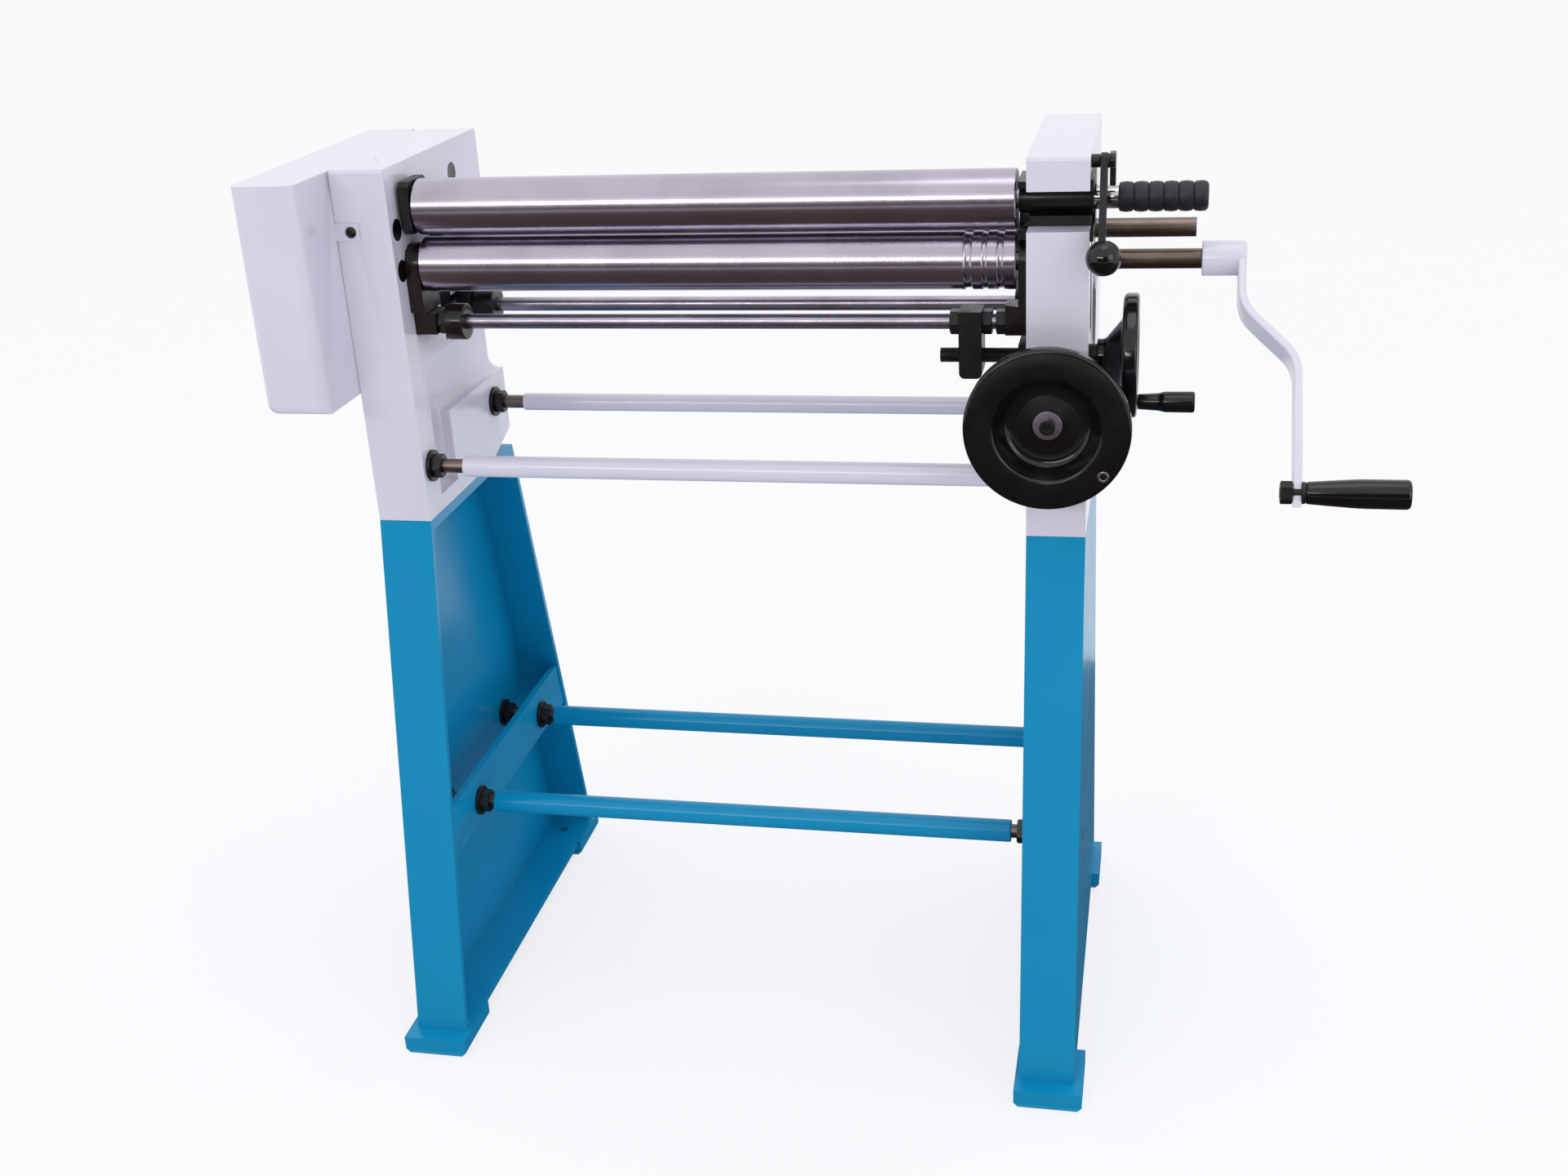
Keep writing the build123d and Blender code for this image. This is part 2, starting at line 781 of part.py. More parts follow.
def wedge_space(side, middle_z):
    """The tool below a block's sloping foot, along the whole travel of its wedge."""
    x0, x1 = side * mid_x - housing_thickness, side * mid_x + housing_thickness
    z_at = [middle_z - wedge_slope * (x - side * wedge_middle()) for x in (x0, x1)]
    floor = wedge_floor_z - housing_thickness
    outline = [(x0, floor), (x1, floor), (x1, z_at[1]), (x0, z_at[0])]
    face = make_face(Polyline(outline, close=True))
    width = 2 * (nose_half_width + overrun)
    return extrude(Plane.XZ.offset(-roll_y - width / 2) * face, width)


def wedge_middle():
    """Distance of each wedge's middle from the machine's middle."""
    return inner_x + wedge_length / 2 - wedge_reach


def make_block_bush(side, y, z, radius):
    """A plain bearing bush pressed into a block."""
    start, end = nose_inner_x(side), side * block_outer_x
    bush = bar_x(y, z, radius + bush_wall, start, end)
    bore = bar_x(y, z, radius + running_fit, start - side * overrun, end + side * overrun)
    return bush - bore


def make_rear_block(side):
    """A rear roll bearing block with a round nose and a foot relieved behind the lifting arm's tip."""
    nose_face = nose_inner_x(side)
    outer = side * block_outer_x
    half = block_half_width
    shape = bar_x(rear_y, rear_axis_z, nose_half_width, nose_face, side * (inner_x - slide_gap))
    shape += bar_x(rear_y, rear_axis_z, half, nose_face, outer)
    outline = [
        (rear_y - half, rear_block_bottom),
        (rear_y, rear_block_bottom),
        (rear_y + half, rear_block_bottom + rear_foot_relief),
        (rear_y + half, rear_axis_z),
        (rear_y - half, rear_axis_z),
    ]
    shape += plate_x(outline, side * (inner_x + slide_gap), outer)
    bore = rear_journal_radius + bush_wall
    return shape - bar_x(rear_y, rear_axis_z, bore, nose_face - side * overrun, outer + side * overrun)


# Lower roll adjustment

def make_wedge(side):
    """A wedge under one lower bearing block, bored for the rod that pulls it."""
    middle = side * wedge_middle()
    x0, x1 = middle - wedge_length / 2, middle + wedge_length / 2
    low = wedge_floor_z + slide_gap
    rise = wedge_slope * wedge_length / 2
    top = wedge_floor_z + wedge_height + slide_gap
    face = make_face(Polyline([(x0, low), (x1, low), (x1, top - rise), (x0, top + rise)], close=True))
    width = 2 * wedge_half_width
    wedge = extrude(Plane.XZ.offset(-roll_y - width / 2) * face, width)
    return wedge - bar_x(roll_y, wedge_rod_z, wedge_rod_radius, x0 - overrun, x1 + overrun)


def make_wedge_rod():
    """The long rod that joins both wedges."""
    return bar_x(roll_y, wedge_rod_z, wedge_rod_radius, -outer_x + rod_end_inset, outer_x - rod_end_inset)


def clamp_span():
    """Low and high X of the clamp block."""
    return inner_x - clamp_inset - clamp_width, inner_x - clamp_inset


def make_clamp_block():
    """The block that ties the wedge rod to the side adjusting screw."""
    x0, x1 = clamp_span()
    y0, y1 = roll_y - clamp_depth / 2, roll_y + clamp_depth / 2
    z0, z1 = side_screw_z - clamp_below, wedge_rod_z + clamp_above
    clamp = block(x0, x1, y0, y1, z0, z1)
    clamp = fillet(clamp.edges().filter_by(Axis.Y).group_by(Axis.Z)[0], clamp_round)
    clamp -= bar_x(roll_y, wedge_rod_z, wedge_rod_radius, x0 - overrun, x1 + overrun)
    return clamp - bar_x(roll_y, side_screw_z, side_screw_radius + running_fit, x0 - overrun, x1 + overrun)


def make_rod_lock_nuts():
    """Hexagon nuts on the wedge rod: both sides of the clamp and the inner end of each wedge."""
    x0, x1 = clamp_span()
    wedge_inner = wedge_middle() - wedge_length / 2
    spans = [(x0 - lock_nut_height, x0), (x1, x1 + lock_nut_height)]
    spans.append((-wedge_inner, -wedge_inner + lock_nut_height))
    spans.append((wedge_inner - lock_nut_height, wedge_inner))
    nuts = []
    for start, end in spans:
        nut = hex_x(roll_y, wedge_rod_z, nut_across, start, end)
        nuts.append(nut - bar_x(roll_y, wedge_rod_z, wedge_rod_radius, start - overrun, end + overrun))
    return nuts


def wheel_start_x():
    """Inner end of the side wheel's hub."""
    return outer_x + slide_gap + screw_collar_length


def make_side_screw():
    """The side adjusting screw with its thrust collar outside the housing."""
    start = clamp_span()[0] - side_screw_travel_tail()
    screw = bar_x(roll_y, side_screw_z, side_screw_radius, start, wheel_start_x() + wheel_hub_depth())
    collar = bar_x(roll_y, side_screw_z, screw_collar_radius, outer_x + slide_gap, wheel_start_x())
    return screw + collar


def side_screw_travel_tail():
    """How far the screw runs on past the clamp block at rest."""
    return side_screw_reach - clamp_inset - clamp_width


def make_rod_collar():
    """The thick collar on the wedge rod, next to the left wedge's lock nut."""
    start = lock_nut_height - wedge_middle() + wedge_length / 2
    end = start + rod_collar_length
    collar = bar_x(roll_y, wedge_rod_z, rod_collar_radius, start, end)
    return collar - bar_x(roll_y, wedge_rod_z, wedge_rod_radius, start - overrun, end + overrun)


def make_side_screw_bush():
    """The flanged plate and bush that carry the side screw through the right housing."""
    y0, y1 = roll_y - side_plate_half_width, roll_y + side_plate_half_width
    z0 = side_screw_z - side_plate_half_height
    z1 = side_screw_z + side_plate_half_height
    bush = block(inner_x - side_plate_thickness, inner_x, y0, y1, z0, z1)
    bush += bar_x(roll_y, side_screw_z, screw_collar_radius, inner_x, outer_x)
    start, end = inner_x - side_plate_thickness - overrun, outer_x + overrun
    return bush - bar_x(roll_y, side_screw_z, side_screw_radius + running_fit, start, end)


# Handwheels

def wheel_hub_depth():
    """Place of the wheel's centre boss face from its hub end."""
    return wheel_depth * (dish_floor_share + boss_height_share)


def wheel_profile(radius, bore):
    """Half section of a dished handwheel from its hub end, as places and radii."""
    hub = radius * hub_radius_share
    rim_back = wheel_depth * (1 - rim_thickness_share)
    edge = radius * rim_round_share
    floor = wheel_depth * dish_floor_share
    return [
        (0, bore),
        (0, hub),
        (wheel_depth * hub_length_share, hub),
        (rim_back - edge, radius * rim_inner_share - edge),
        (rim_back, radius * rim_inner_share),
        (rim_back, radius - edge),
        (rim_back + edge, radius),
        (wheel_depth - edge, radius),
        (wheel_depth, radius - edge),
        (wheel_depth, radius * rim_inner_share),
        (floor, radius * dish_inner_share),
        (floor, radius * boss_radius_share),
        (wheel_hub_depth(), radius * boss_radius_share - edge),
        (wheel_hub_depth(), bore),
    ]


def make_side_wheel():
    """The side handwheel, dished away from the housing."""
    start = wheel_start_x()
    points = [(start + place, r) for place, r in wheel_profile(side_wheel_radius, side_screw_radius)]
    wheel = turned_x(points, roll_y, side_screw_z)
    z = side_screw_z - side_handle_offset
    x0 = start + wheel_depth * (1 - rim_thickness_share) - overrun
    return wheel - bar_x(roll_y, z, handle_pin_radius, x0, start + wheel_depth + overrun)


def wheel_screw_profile(face, direction):
    """Washer, socket head and drive recess in front of a wheel's boss face."""
    washer = face + direction * wheel_screw_washer
    head = washer + direction * wheel_screw_head
    socket = washer + direction * wheel_screw_head / 2
    return [
        (face, 0),
        (face, wheel_screw_washer_radius),
        (washer, wheel_screw_washer_radius),
        (washer, wheel_screw_head_radius),
        (head, wheel_screw_head_radius),
        (head, wheel_screw_socket_radius),
        (socket, wheel_screw_socket_radius),
        (socket, 0),
    ]


def make_side_wheel_screw():
    """The washer and socket screw that hold the side wheel on its shaft."""
    return turned_x(wheel_screw_profile(wheel_start_x() + wheel_hub_depth(), 1), roll_y, side_screw_z)


def make_side_handle_pin():
    """The pin that the side wheel's handle turns on."""
    start = wheel_start_x() + wheel_depth * (1 - rim_thickness_share)
    end = wheel_start_x() + wheel_depth + side_handle_length - side_handle_end_radius
    return bar_x(roll_y, side_screw_z - side_handle_offset, handle_pin_radius, start, end)


def make_side_handle():
    """The revolving handle of the side wheel: slim neck, fuller rounded end."""
    start = wheel_start_x() + wheel_depth + slide_gap
    end = start + side_handle_length
    middle = start + side_handle_length / 2
    bore_end = end - side_handle_end_radius / 2
    bore = handle_pin_radius + running_fit
    edge = side_handle_neck_radius * side_handle_edge_share
    points = [
        (start, bore),
        (start, side_handle_neck_radius),
        (middle, side_handle_end_radius),
        (end - edge, side_handle_end_radius),
        (end, side_handle_end_radius - edge),
        (end, 0),
        (bore_end, 0),
        (bore_end, bore),
    ]
    return turned_x(points, roll_y, side_screw_z - side_handle_offset)


# Rear roll adjustment

def front_wheel_end():
    """Y place of the front wheel's hub end."""
    return front_y - slide_gap - front_collar_length


def make_front_screw():
    """The rear roll's adjusting screw along Y, with a thrust collar before the housing."""
    tail = drop_cavity_box()[1] + front_screw_tail
    start = front_wheel_end() - wheel_hub_depth()
    screw = bar_y(front_screw_x, front_screw_z, front_screw_radius, start, tail)
    end = front_y - slide_gap
    return screw + bar_y(front_screw_x, front_screw_z, screw_collar_radius, front_wheel_end(), end)


def make_front_wheel():
    """The front handwheel, dished towards the operator, with a seat for its threaded insert."""
    end = front_wheel_end()
    points = [(end - place, r) for place, r in wheel_profile(front_wheel_radius, front_screw_radius)]
    wheel = turned_y(points, front_screw_x, front_screw_z)
    x, z = insert_place()
    face = end - wheel_depth
    return wheel - bar_y(x, z, insert_radius, face - overrun, face + insert_depth)


def insert_place():
    """X and Z of the threaded insert in the front wheel's rim."""
    reach = front_wheel_radius * insert_radius_share
    angle = math.radians(insert_angle_degrees)
    return front_screw_x + reach * math.cos(angle), front_screw_z + reach * math.sin(angle)


def make_handle_insert():
    """The plain metal insert in the front wheel's rim, ready for a handle."""
    x, z = insert_place()
    face = front_wheel_end() - wheel_depth
    insert = bar_y(x, z, insert_radius, face - insert_proud, face + insert_depth)
    return insert - bar_y(x, z, insert_radius / 2, face - overrun, face + insert_depth / 2)


def make_front_wheel_screw():
    """The washer and socket screw that hold the front wheel on its shaft."""
    face = front_wheel_end() - wheel_hub_depth()
    return turned_y(wheel_screw_profile(face, -1), front_screw_x, front_screw_z)


def make_travel_nut():
    """The nut that the front screw drives along Y, with a pin for the drop arm."""
    half = travel_nut_size / 2
    x0, x1 = front_screw_x - half / 2 - front_screw_radius / 2, drop_arm_inner() - slide_gap
    y0, y1 = lift_shaft_y - half, lift_shaft_y + half
    z0, z1 = front_screw_z - half, front_screw_z + half
    nut = block(x0, x1, y0, y1, z0, z1)
    pin_end = drop_arm_inner() + drop_arm_width
    nut += bar_x(lift_shaft_y, front_screw_z, nut_pin_radius, x1, pin_end)
    radius = front_screw_radius + running_fit
    return nut - bar_y(front_screw_x, front_screw_z, radius, y0 - overrun, y1 + overrun)


def drop_arm_inner():
    """Inner face of the drop arm."""
    return inner_x + drop_arm_inset


def make_drop_arm():
    """The arm that hangs from the lifting shaft and straddles the travelling nut's pin."""
    x0 = drop_arm_inner()
    x1 = x0 + drop_arm_width
    half = drop_arm_half_width
    low = front_screw_z - half
    arm = block(x0, x1, lift_shaft_y - half, lift_shaft_y + half, low, lift_shaft_z)
    arm += bar_x(lift_shaft_y, lift_shaft_z, lift_hub_radius, x0, x1)
    play = nut_pin_radius + nut_pin_play
    slot_top = front_screw_z + play + lift_arm_tip_radius
    y0, y1 = lift_shaft_y - play, lift_shaft_y + play
    arm -= block(x0 - overrun, x1 + overrun, y0, y1, low - overrun, slot_top)
    return arm - bar_x(lift_shaft_y, lift_shaft_z, lift_shaft_radius, x0 - overrun, x1 + overrun)


def make_lift_shaft():
    """The cross shaft that turns both lifting arms."""
    left_end = inner_x + lift_arm_inset + lift_arm_width
    right_end = drop_arm_inner() + drop_arm_width
    return bar_x(lift_shaft_y, lift_shaft_z, lift_shaft_radius, -left_end, right_end)


def make_shaft_collars():
    """Flange collars by both brackets and the long clamp collar near the left end."""
    spans = []
    for side in (-1, 1):
        end = side * (inner_x - shaft_bracket_thickness - slide_gap)
        spans.append((end - side * flange_collar_thickness, end, flange_collar_radius))
    start = -inner_x + clamp_collar_inset
    spans.append((start, start + clamp_collar_length, clamp_collar_radius))
    collars = []
    for x0, x1, radius in spans:
        low, high = min(x0, x1), max(x0, x1)
        collar = bar_x(lift_shaft_y, lift_shaft_z, radius, low, high)
        bore = bar_x(lift_shaft_y, lift_shaft_z, lift_shaft_radius, low - overrun, high + overrun)
        collars.append(collar - bore)
    return collars


def make_lift_arm(side):
    """A lifting arm on the cross shaft, whose round tip raises a rear bearing block."""
    x0 = side * (inner_x + lift_arm_inset)
    x1 = x0 + side * lift_arm_width
    half = lift_arm_tip_radius
    z0, z1 = lift_shaft_z - half, lift_shaft_z + half
    arm = block(x0, x1, rear_y, lift_shaft_y, z0, z1)
    arm += bar_x(rear_y, lift_shaft_z, half, x0, x1)
    arm += bar_x(lift_shaft_y, lift_shaft_z, lift_hub_radius, x0, x1)
    bore = bar_x(lift_shaft_y, lift_shaft_z, lift_shaft_radius, x0 - side * overrun, x1 + side * overrun)
    return arm - bore


def make_shaft_bracket(side):
    """The bracket on a housing's inner face that carries the lifting shaft."""
    x0, x1 = side * (inner_x - shaft_bracket_thickness), side * inner_x
    y0, y1 = lift_shaft_y - shaft_bracket_front, lift_shaft_y + shaft_bracket_back
    z0 = lift_shaft_z - shaft_bracket_half_height
    z1 = lift_shaft_z + shaft_bracket_half_height
    bracket = block(x0, x1, y0, y1, z0, z1)
    radius = lift_shaft_radius + running_fit
    return bracket - bar_x(lift_shaft_y, lift_shaft_z, radius, x0 - side * overrun, x1 + side * overrun)


def make_access_plate():
    """The sheet plate over the nut space on the right housing's outer face."""
    y0, y1, z0, z1 = drop_cavity_box()
    lap = access_plate_lap
    return block(outer_x, outer_x + access_plate_thickness, y0 - lap, y1 + lap, z0 - lap, z1 + lap)


# Swing-out end of the upper roll

def make_swivel_block():
    """The block that the upper roll swings with: an upright barrel and a chamfered nose."""
    z0, z1 = upper_axis_z - swivel_half_height, upper_axis_z + swivel_half_height
    shape = bar_z(swivel_x, roll_y, swivel_radius, z0, z1)
    nose_face = nose_inner_x(-1)
    nose_back = -inner_x + swivel_nose_gap
    wide, cut = swivel_nose_half_width, swivel_nose_chamfer
    low = upper_axis_z + swivel_nose_rise - swivel_nose_half_height
    high = upper_axis_z + swivel_nose_rise + swivel_nose_half_height
    outline = [
        (roll_y - wide, low + cut),
        (roll_y - wide + cut, low),
        (roll_y + wide - cut, low),
        (roll_y + wide, low + cut),
        (roll_y + wide, high - cut),
        (roll_y + wide - cut, high),
        (roll_y - wide + cut, high),
        (roll_y - wide, high - cut),
    ]
    shape += plate_x(outline, nose_back, nose_face)
    neck = swivel_radius - swivel_neck_inset
    shape += block(swivel_x, nose_back, roll_y - neck, roll_y + neck, z0, z1)
    start = swivel_bush_start()
    shape -= bar_x(roll_y, upper_axis_z, journal_radius + bush_wall, start, nose_face + overrun)
    room = journal_radius + slide_gap
    shape -= bar_x(roll_y, upper_axis_z, room, swivel_x - swivel_radius - overrun, start)
    pin = swivel_pin_radius + running_fit
    for direction in (-1, 1):
        inner = upper_axis_z + direction * (swivel_half_height - swivel_pin_engaged - seat_gap)
        outer = upper_axis_z + direction * (swivel_half_height + overrun)
        shape -= bar_z(swivel_x, roll_y, pin, inner, outer)
    return shape


def swivel_bush_start():
    """Left end of the swivel block's bush, past the drive tongue."""
    return swivel_x + tongue_length / 2


def make_swivel_bush():
    """The bush in the swivel block for the upper roll's left journal."""
    start, end = swivel_bush_start(), nose_inner_x(-1)
    bush = bar_x(roll_y, upper_axis_z, journal_radius + bush_wall, start, end)
    radius = journal_radius + running_fit
    return bush - bar_x(roll_y, upper_axis_z, radius, start - overrun, end + overrun)


def make_swivel_pins():
    """The upper and lower pins that the swivel block turns on."""
    pins = []
    for direction in (-1, 1):
        start = upper_axis_z + direction * (swivel_half_height - swivel_pin_engaged)
        end = start + direction * swivel_pin_length
        pins.append(bar_z(swivel_x, roll_y, swivel_pin_radius, start, end))
    return pins


def make_journal_sleeve():
    """The blackened sleeve round the upper roll's right journal, closed at its outer end."""
    start = roll_right + shoulder_gap
    end = outer_x + sleeve_reach
    sleeve = bar_x(roll_y, upper_axis_z, sleeve_radius, start, end)
    sleeve -= bar_x(roll_y, upper_axis_z, sleeve_bore_radius, start - overrun, end - sleeve_end_wall)
    return sleeve - bar_x(roll_y, upper_axis_z, grip_core_radius, end - sleeve_end_wall, end + overrun)


def make_grip_stem():
    """The stem that carries the lifting grip on the sleeve's end."""
    end = outer_x + sleeve_reach
    core_end = collar_x + stem_collar_length + grip_length - grip_core_radius
    stem = bar_x(roll_y, upper_axis_z, grip_core_radius, end - sleeve_end_wall, core_end)
    stem += bar_x(roll_y, upper_axis_z, stem_neck_radius, end, collar_x)
    return stem + bar_x(roll_y, upper_axis_z, stem_collar_radius, collar_x, collar_x + stem_collar_length)


def make_lift_grip():
    """The ribbed rubber grip: full lands between shallow ring grooves."""
    start = collar_x + stem_collar_length
    end = start + grip_length
    grip = rounded_bar_x(roll_y, upper_axis_z, grip_radius, start, end, grip_groove_width)
    pitch = grip_length / grip_rib_count
    for index in range(1, grip_rib_count):
        middle = start + index * pitch
        x0, x1 = middle - grip_groove_width / 2, middle + grip_groove_width / 2
        ring = bar_x(roll_y, upper_axis_z, grip_radius + overrun, x0, x1)
        floor = grip_radius - grip_groove_depth
        grip -= ring - bar_x(roll_y, upper_axis_z, floor, x0 - overrun, x1 + overrun)
    bore_end = end - grip_core_radius
    return grip - bar_x(roll_y, upper_axis_z, grip_core_radius, start - overrun, bore_end)


def slotted_plate(x0, x1, y0, y1, z0, z1):
    """A plate with the same open slot as the right housing."""
    plate = block(x0, x1, y0, y1, z0, z1)
    return plate - sleeve_slot(x0 - overrun, x1 + overrun, y0 - overrun)


def make_inner_keeper():
    """The black plate on the right housing's inner face, open to the front."""
    y0, y1 = roll_y - keeper_half_width, roll_y + keeper_half_width
    low = lower_axis_z + nose_half_width + lower_lift + slide_gap
    return slotted_plate(inner_x - keeper_thickness, inner_x, y0, y1, low, upper_axis_z + keeper_rise)


def make_wear_plate():
    """The thin plate round the slot on the right housing's outer face."""
    y0 = front_y + slide_gap
    z0, z1 = upper_axis_z - wear_plate_drop, upper_axis_z + wear_plate_rise
    return slotted_plate(outer_x, outer_x + wear_plate_thickness, y0, y0 + wear_plate_length, z0, z1)


def make_saddle():
    """The black rest on the slot's floor, just below the journal sleeve."""
    z0, z1 = upper_axis_z - slot_drop, upper_axis_z - slot_half
    return block(inner_x, outer_x, roll_y - saddle_length, roll_y, z0, z1)


# Release lever

def lean_forward(shape):
    """Turns a piece drawn hanging straight down to the lever's rest angle about its pivot."""
    here = Pos(0, lever_y, lever_z)
    return here * Rot(-lever_lean_degrees, 0, 0) * here.inverse() * shape


def make_release_lever():
    """The flat release lever: a leaning bar that ends in the ball, and an upright catch before the roll."""
    x0, x1 = lever_x, lever_x + lever_thickness
    half = lever_width / 2
    low = lever_z - lever_length
    lever = block(x0, x1, lever_y - half, lever_y + half, low, lever_z)
    lever += bar_x(lever_y, lever_z, half, x0, x1)
    lever += bar_x(lever_y, low, half, x0, x1)
    lever = lean_forward(lever)
    lever += block(x0, x1, lever_y - half, lever_y + half, lever_z - catch_length, lever_z)
    lever += bar_x(lever_y, lever_z, lever_hub_radius, x1, x1 + lever_hub_length)
    bore = pivot_pin_radius + running_fit
    return lever - bar_x(lever_y, lever_z, bore, x0 - overrun, x1 + lever_hub_length + overrun)


def make_ball_knob():
    """The black ball on the lever's end."""
    centre = Pos(lever_x + ball_side_offset, lever_y, lever_z - ball_reach)
    return lean_forward(centre * Sphere(ball_radius)) - make_release_lever()


def make_lever_pivot():
    """The shouldered pin that the release lever turns on."""
    spacer_end = lever_x - slide_gap
    head = lever_x + lever_thickness + lever_hub_length + slide_gap
    pin = bar_x(lever_y, lever_z, pivot_pin_radius, outer_x - pivot_depth, head)
    pin += bar_x(lever_y, lever_z, pivot_spacer_radius, outer_x, spacer_end)
    return pin + bar_x(lever_y, lever_z, pivot_head_radius, head, head + pivot_head_length)


def make_roll_stop():
    """The angled stop behind the grip's stem, fixed to the right housing's outer face."""
    y0 = roll_y + roll_stop_start
    y1 = y0 + roll_stop_width
    z0 = upper_axis_z - roll_stop_drop
    end = outer_x + roll_stop_reach
    arm = block(outer_x, end, y0, y1, z0, z0 + roll_stop_arm_height)
    return arm + block(end - roll_stop_thickness, end, y0, y1, z0, z0 + roll_stop_height)


# Feed gears

def involute_gear_face(phase_degrees):
    """A spur gear outline from the involute of its base circle, thinned by the backlash."""
    pitch = gear_module * gear_teeth / 2
    base = pitch * math.cos(math.radians(pressure_angle_degrees))
    tip, root = pitch + gear_module, pitch - gear_root_share * gear_module
    involute_at = lambda radius: math.sqrt(max(radius * radius / base / base - 1, 0))
    spread = lambda t: t - math.atan(t)
    half = (math.pi * gear_module / 2 - gear_backlash) / 2 / pitch + spread(involute_at(pitch))
    radii = [base + (tip - base) * step / flank_steps for step in range(flank_steps + 1)]
    points = []
    for tooth in range(gear_teeth):
        middle = math.radians(phase_degrees) + 2 * math.pi * tooth / gear_teeth
        rise = [(r, middle - half + spread(involute_at(r))) for r in radii]
        fall = [(r, middle + half - spread(involute_at(r))) for r in reversed(radii)]
        flank = [(root, middle - half)] + rise + fall + [(root, middle + half)]
        points += [(r * math.cos(a), r * math.sin(a)) for r, a in flank]
    return make_face(Polyline(points, close=True))


def make_gear(z, phase_degrees):
    """One feed gear on its shaft at the left end."""
    start = -gear_x - gear_width
    face = Plane.YZ.offset(start) * Pos(roll_y, z) * involute_gear_face(phase_degrees)
    gear = extrude(face, gear_width)
    return gear - bar_x(roll_y, z, stub_shaft_radius, start - overrun, -gear_x + overrun)


def make_upper_gear():
    """The upper feed gear, with a tooth straight down."""
    return make_gear(upper_axis_z, -90)


def make_lower_gear():
    """The lower feed gear, with a gap straight up."""
    return make_gear(lower_axis_z, 90 + 180 / gear_teeth)


def make_stub_shaft():
    """The upper gear's stub shaft, whose tongue drives the swinging roll."""
    start = -gear_x - gear_width - gear_nut_height
    tongue_start = swivel_x - tongue_length / 2
    shaft = bar_x(roll_y, upper_axis_z, stub_shaft_radius, start, tongue_start)
    half = tongue_thickness / 2
    wide = stub_shaft_radius * tongue_width_share
    tongue_end = swivel_x + tongue_length / 2
    z0, z1 = upper_axis_z - half, upper_axis_z + half
    return shaft + block(tongue_start, tongue_end, roll_y - wide, roll_y + wide, z0, z1)


def make_stub_bush():
    """The flanged bush in the left housing's outer wall for the stub shaft."""
    inner_end = swivel_x - swivel_radius - slide_gap
    radius = stub_shaft_radius + stub_bush_wall
    bush = bar_x(roll_y, upper_axis_z, radius, -outer_x, inner_end)
    bush += bar_x(roll_y, upper_axis_z, stub_flange_radius, -outer_x - stub_flange_thickness, -outer_x)
    start, end = -outer_x - stub_flange_thickness - overrun, inner_end + overrun
    return bush - bar_x(roll_y, upper_axis_z, stub_shaft_radius + running_fit, start, end)


def make_gear_nut(z):
    """The nut that holds a feed gear on its shaft."""
    end = -gear_x - gear_width
    nut = hex_x(roll_y, z, gear_nut_across, end - gear_nut_height, end)
    return nut - bar_x(roll_y, z, stub_shaft_radius, end - gear_nut_height - overrun, end + overrun)


def make_lower_spacer():
    """The ring between the lower roll's journal and its gear."""
    start, end = -gear_x, -block_outer_x
    ring = bar_x(roll_y, lower_axis_z, journal_radius, start, end)
    return ring - bar_x(roll_y, lower_axis_z, stub_shaft_radius, start - overrun, end + overrun)


# Gear cover

def cover_span():
    """Low and high X, Y and Z of the cover's outside."""
    x0, x1 = -outer_x - cover_gap - cover_width, -outer_x - cover_gap
    y0, y1 = front_y - cover_front_reach, back_y + cover_back_reach + seat_gap
    return x0, x1, y0, y1, top_z - cover_height, top_z


def cover_block(inset):
    """The cover's block drawn in by an inset, rounded at its front uprights and two lower edges."""
    x0, x1, y0, y1, z0, z1 = cover_span()
    shell = block(x0 + inset, x1 - inset, y0 + inset, y1 - inset, z0 + inset, z1 - inset)
    uprights = shell.edges().filter_by(Axis.Z).group_by(Axis.Y)[0]
    front_low = shell.edges().filter_by(Axis.X).group_by(Axis.Z)[0].sort_by(Axis.Y)[0]
    left_low = shell.edges().filter_by(Axis.Y).group_by(Axis.Z)[0].sort_by(Axis.X)[0]
    return fillet([*uprights, front_low, left_low], cover_round - inset)


def make_gear_cover():
    """The folded sheet cover over the feed gears, open towards the housing, with two bent ears."""
    x0, x1, y0, y1, z0, z1 = cover_span()
    sheet = cover_sheet
    mouth = block(x1 - cover_round, x1 + overrun, front_y + sheet, y1 - sheet, z0 + sheet, z1 - sheet)
    cover = cover_block(0) - cover_block(sheet) - mouth
    notch = cover_notch
    cover -= block(x1 - notch, x1 + overrun, y1 - notch, y1 + overrun, z1 - notch, z1 + overrun)
    ear_end = -outer_x + ear_length
    z_low, z_high = top_z - ear_drop - ear_height / 2, top_z - ear_drop + ear_height / 2
    cover += block(x1 - sheet, ear_end, front_y - seat_gap - sheet, front_y - seat_gap, z_low, z_high)
    cover += block(x1 - sheet, ear_end, y1 - sheet, y1, z_low, z_high)
    screw_x = -outer_x + ear_length - ear_screw_inset
    for y in (front_y, y1):
        hole = ear_screw_radius + seat_gap
        cover -= bar_y(screw_x, top_z - ear_drop, hole, y - 2 * sheet, y + 2 * sheet)
    return cover


def cover_screw_ends():
    """Outer start and signed length of the holes for the cover's two screws."""
    reach = ear_screw_length
    return [(front_y - overrun, reach + overrun), (back_y - reach, reach + overrun)]


def make_cover_screws():
    """The two button screws that hold the cover's ears."""
    x, z = -outer_x + ear_length - ear_screw_inset, top_z - ear_drop
    front_face = front_y - seat_gap - cover_sheet
    back_face = cover_span()[3]
    screws = []
    for face, direction in ((front_face, -1), (back_face, 1)):
        tip = face - direction * (ear_screw_length - cover_sheet)
        screw = bar_y(x, z, ear_screw_radius, face, tip)
        head_end = face + direction * ear_screw_head_height
        screws.append(screw + bar_y(x, z, ear_screw_head_radius, face, head_end))
    return screws


# Crank

def turn_crank(shape):
    """Turns a piece drawn hanging straight down to the crank's rest angle."""
    here = Pos(0, roll_y, lower_axis_z)
    return here * Rot(-crank_angle_degrees, 0, 0) * here.inverse() * shape


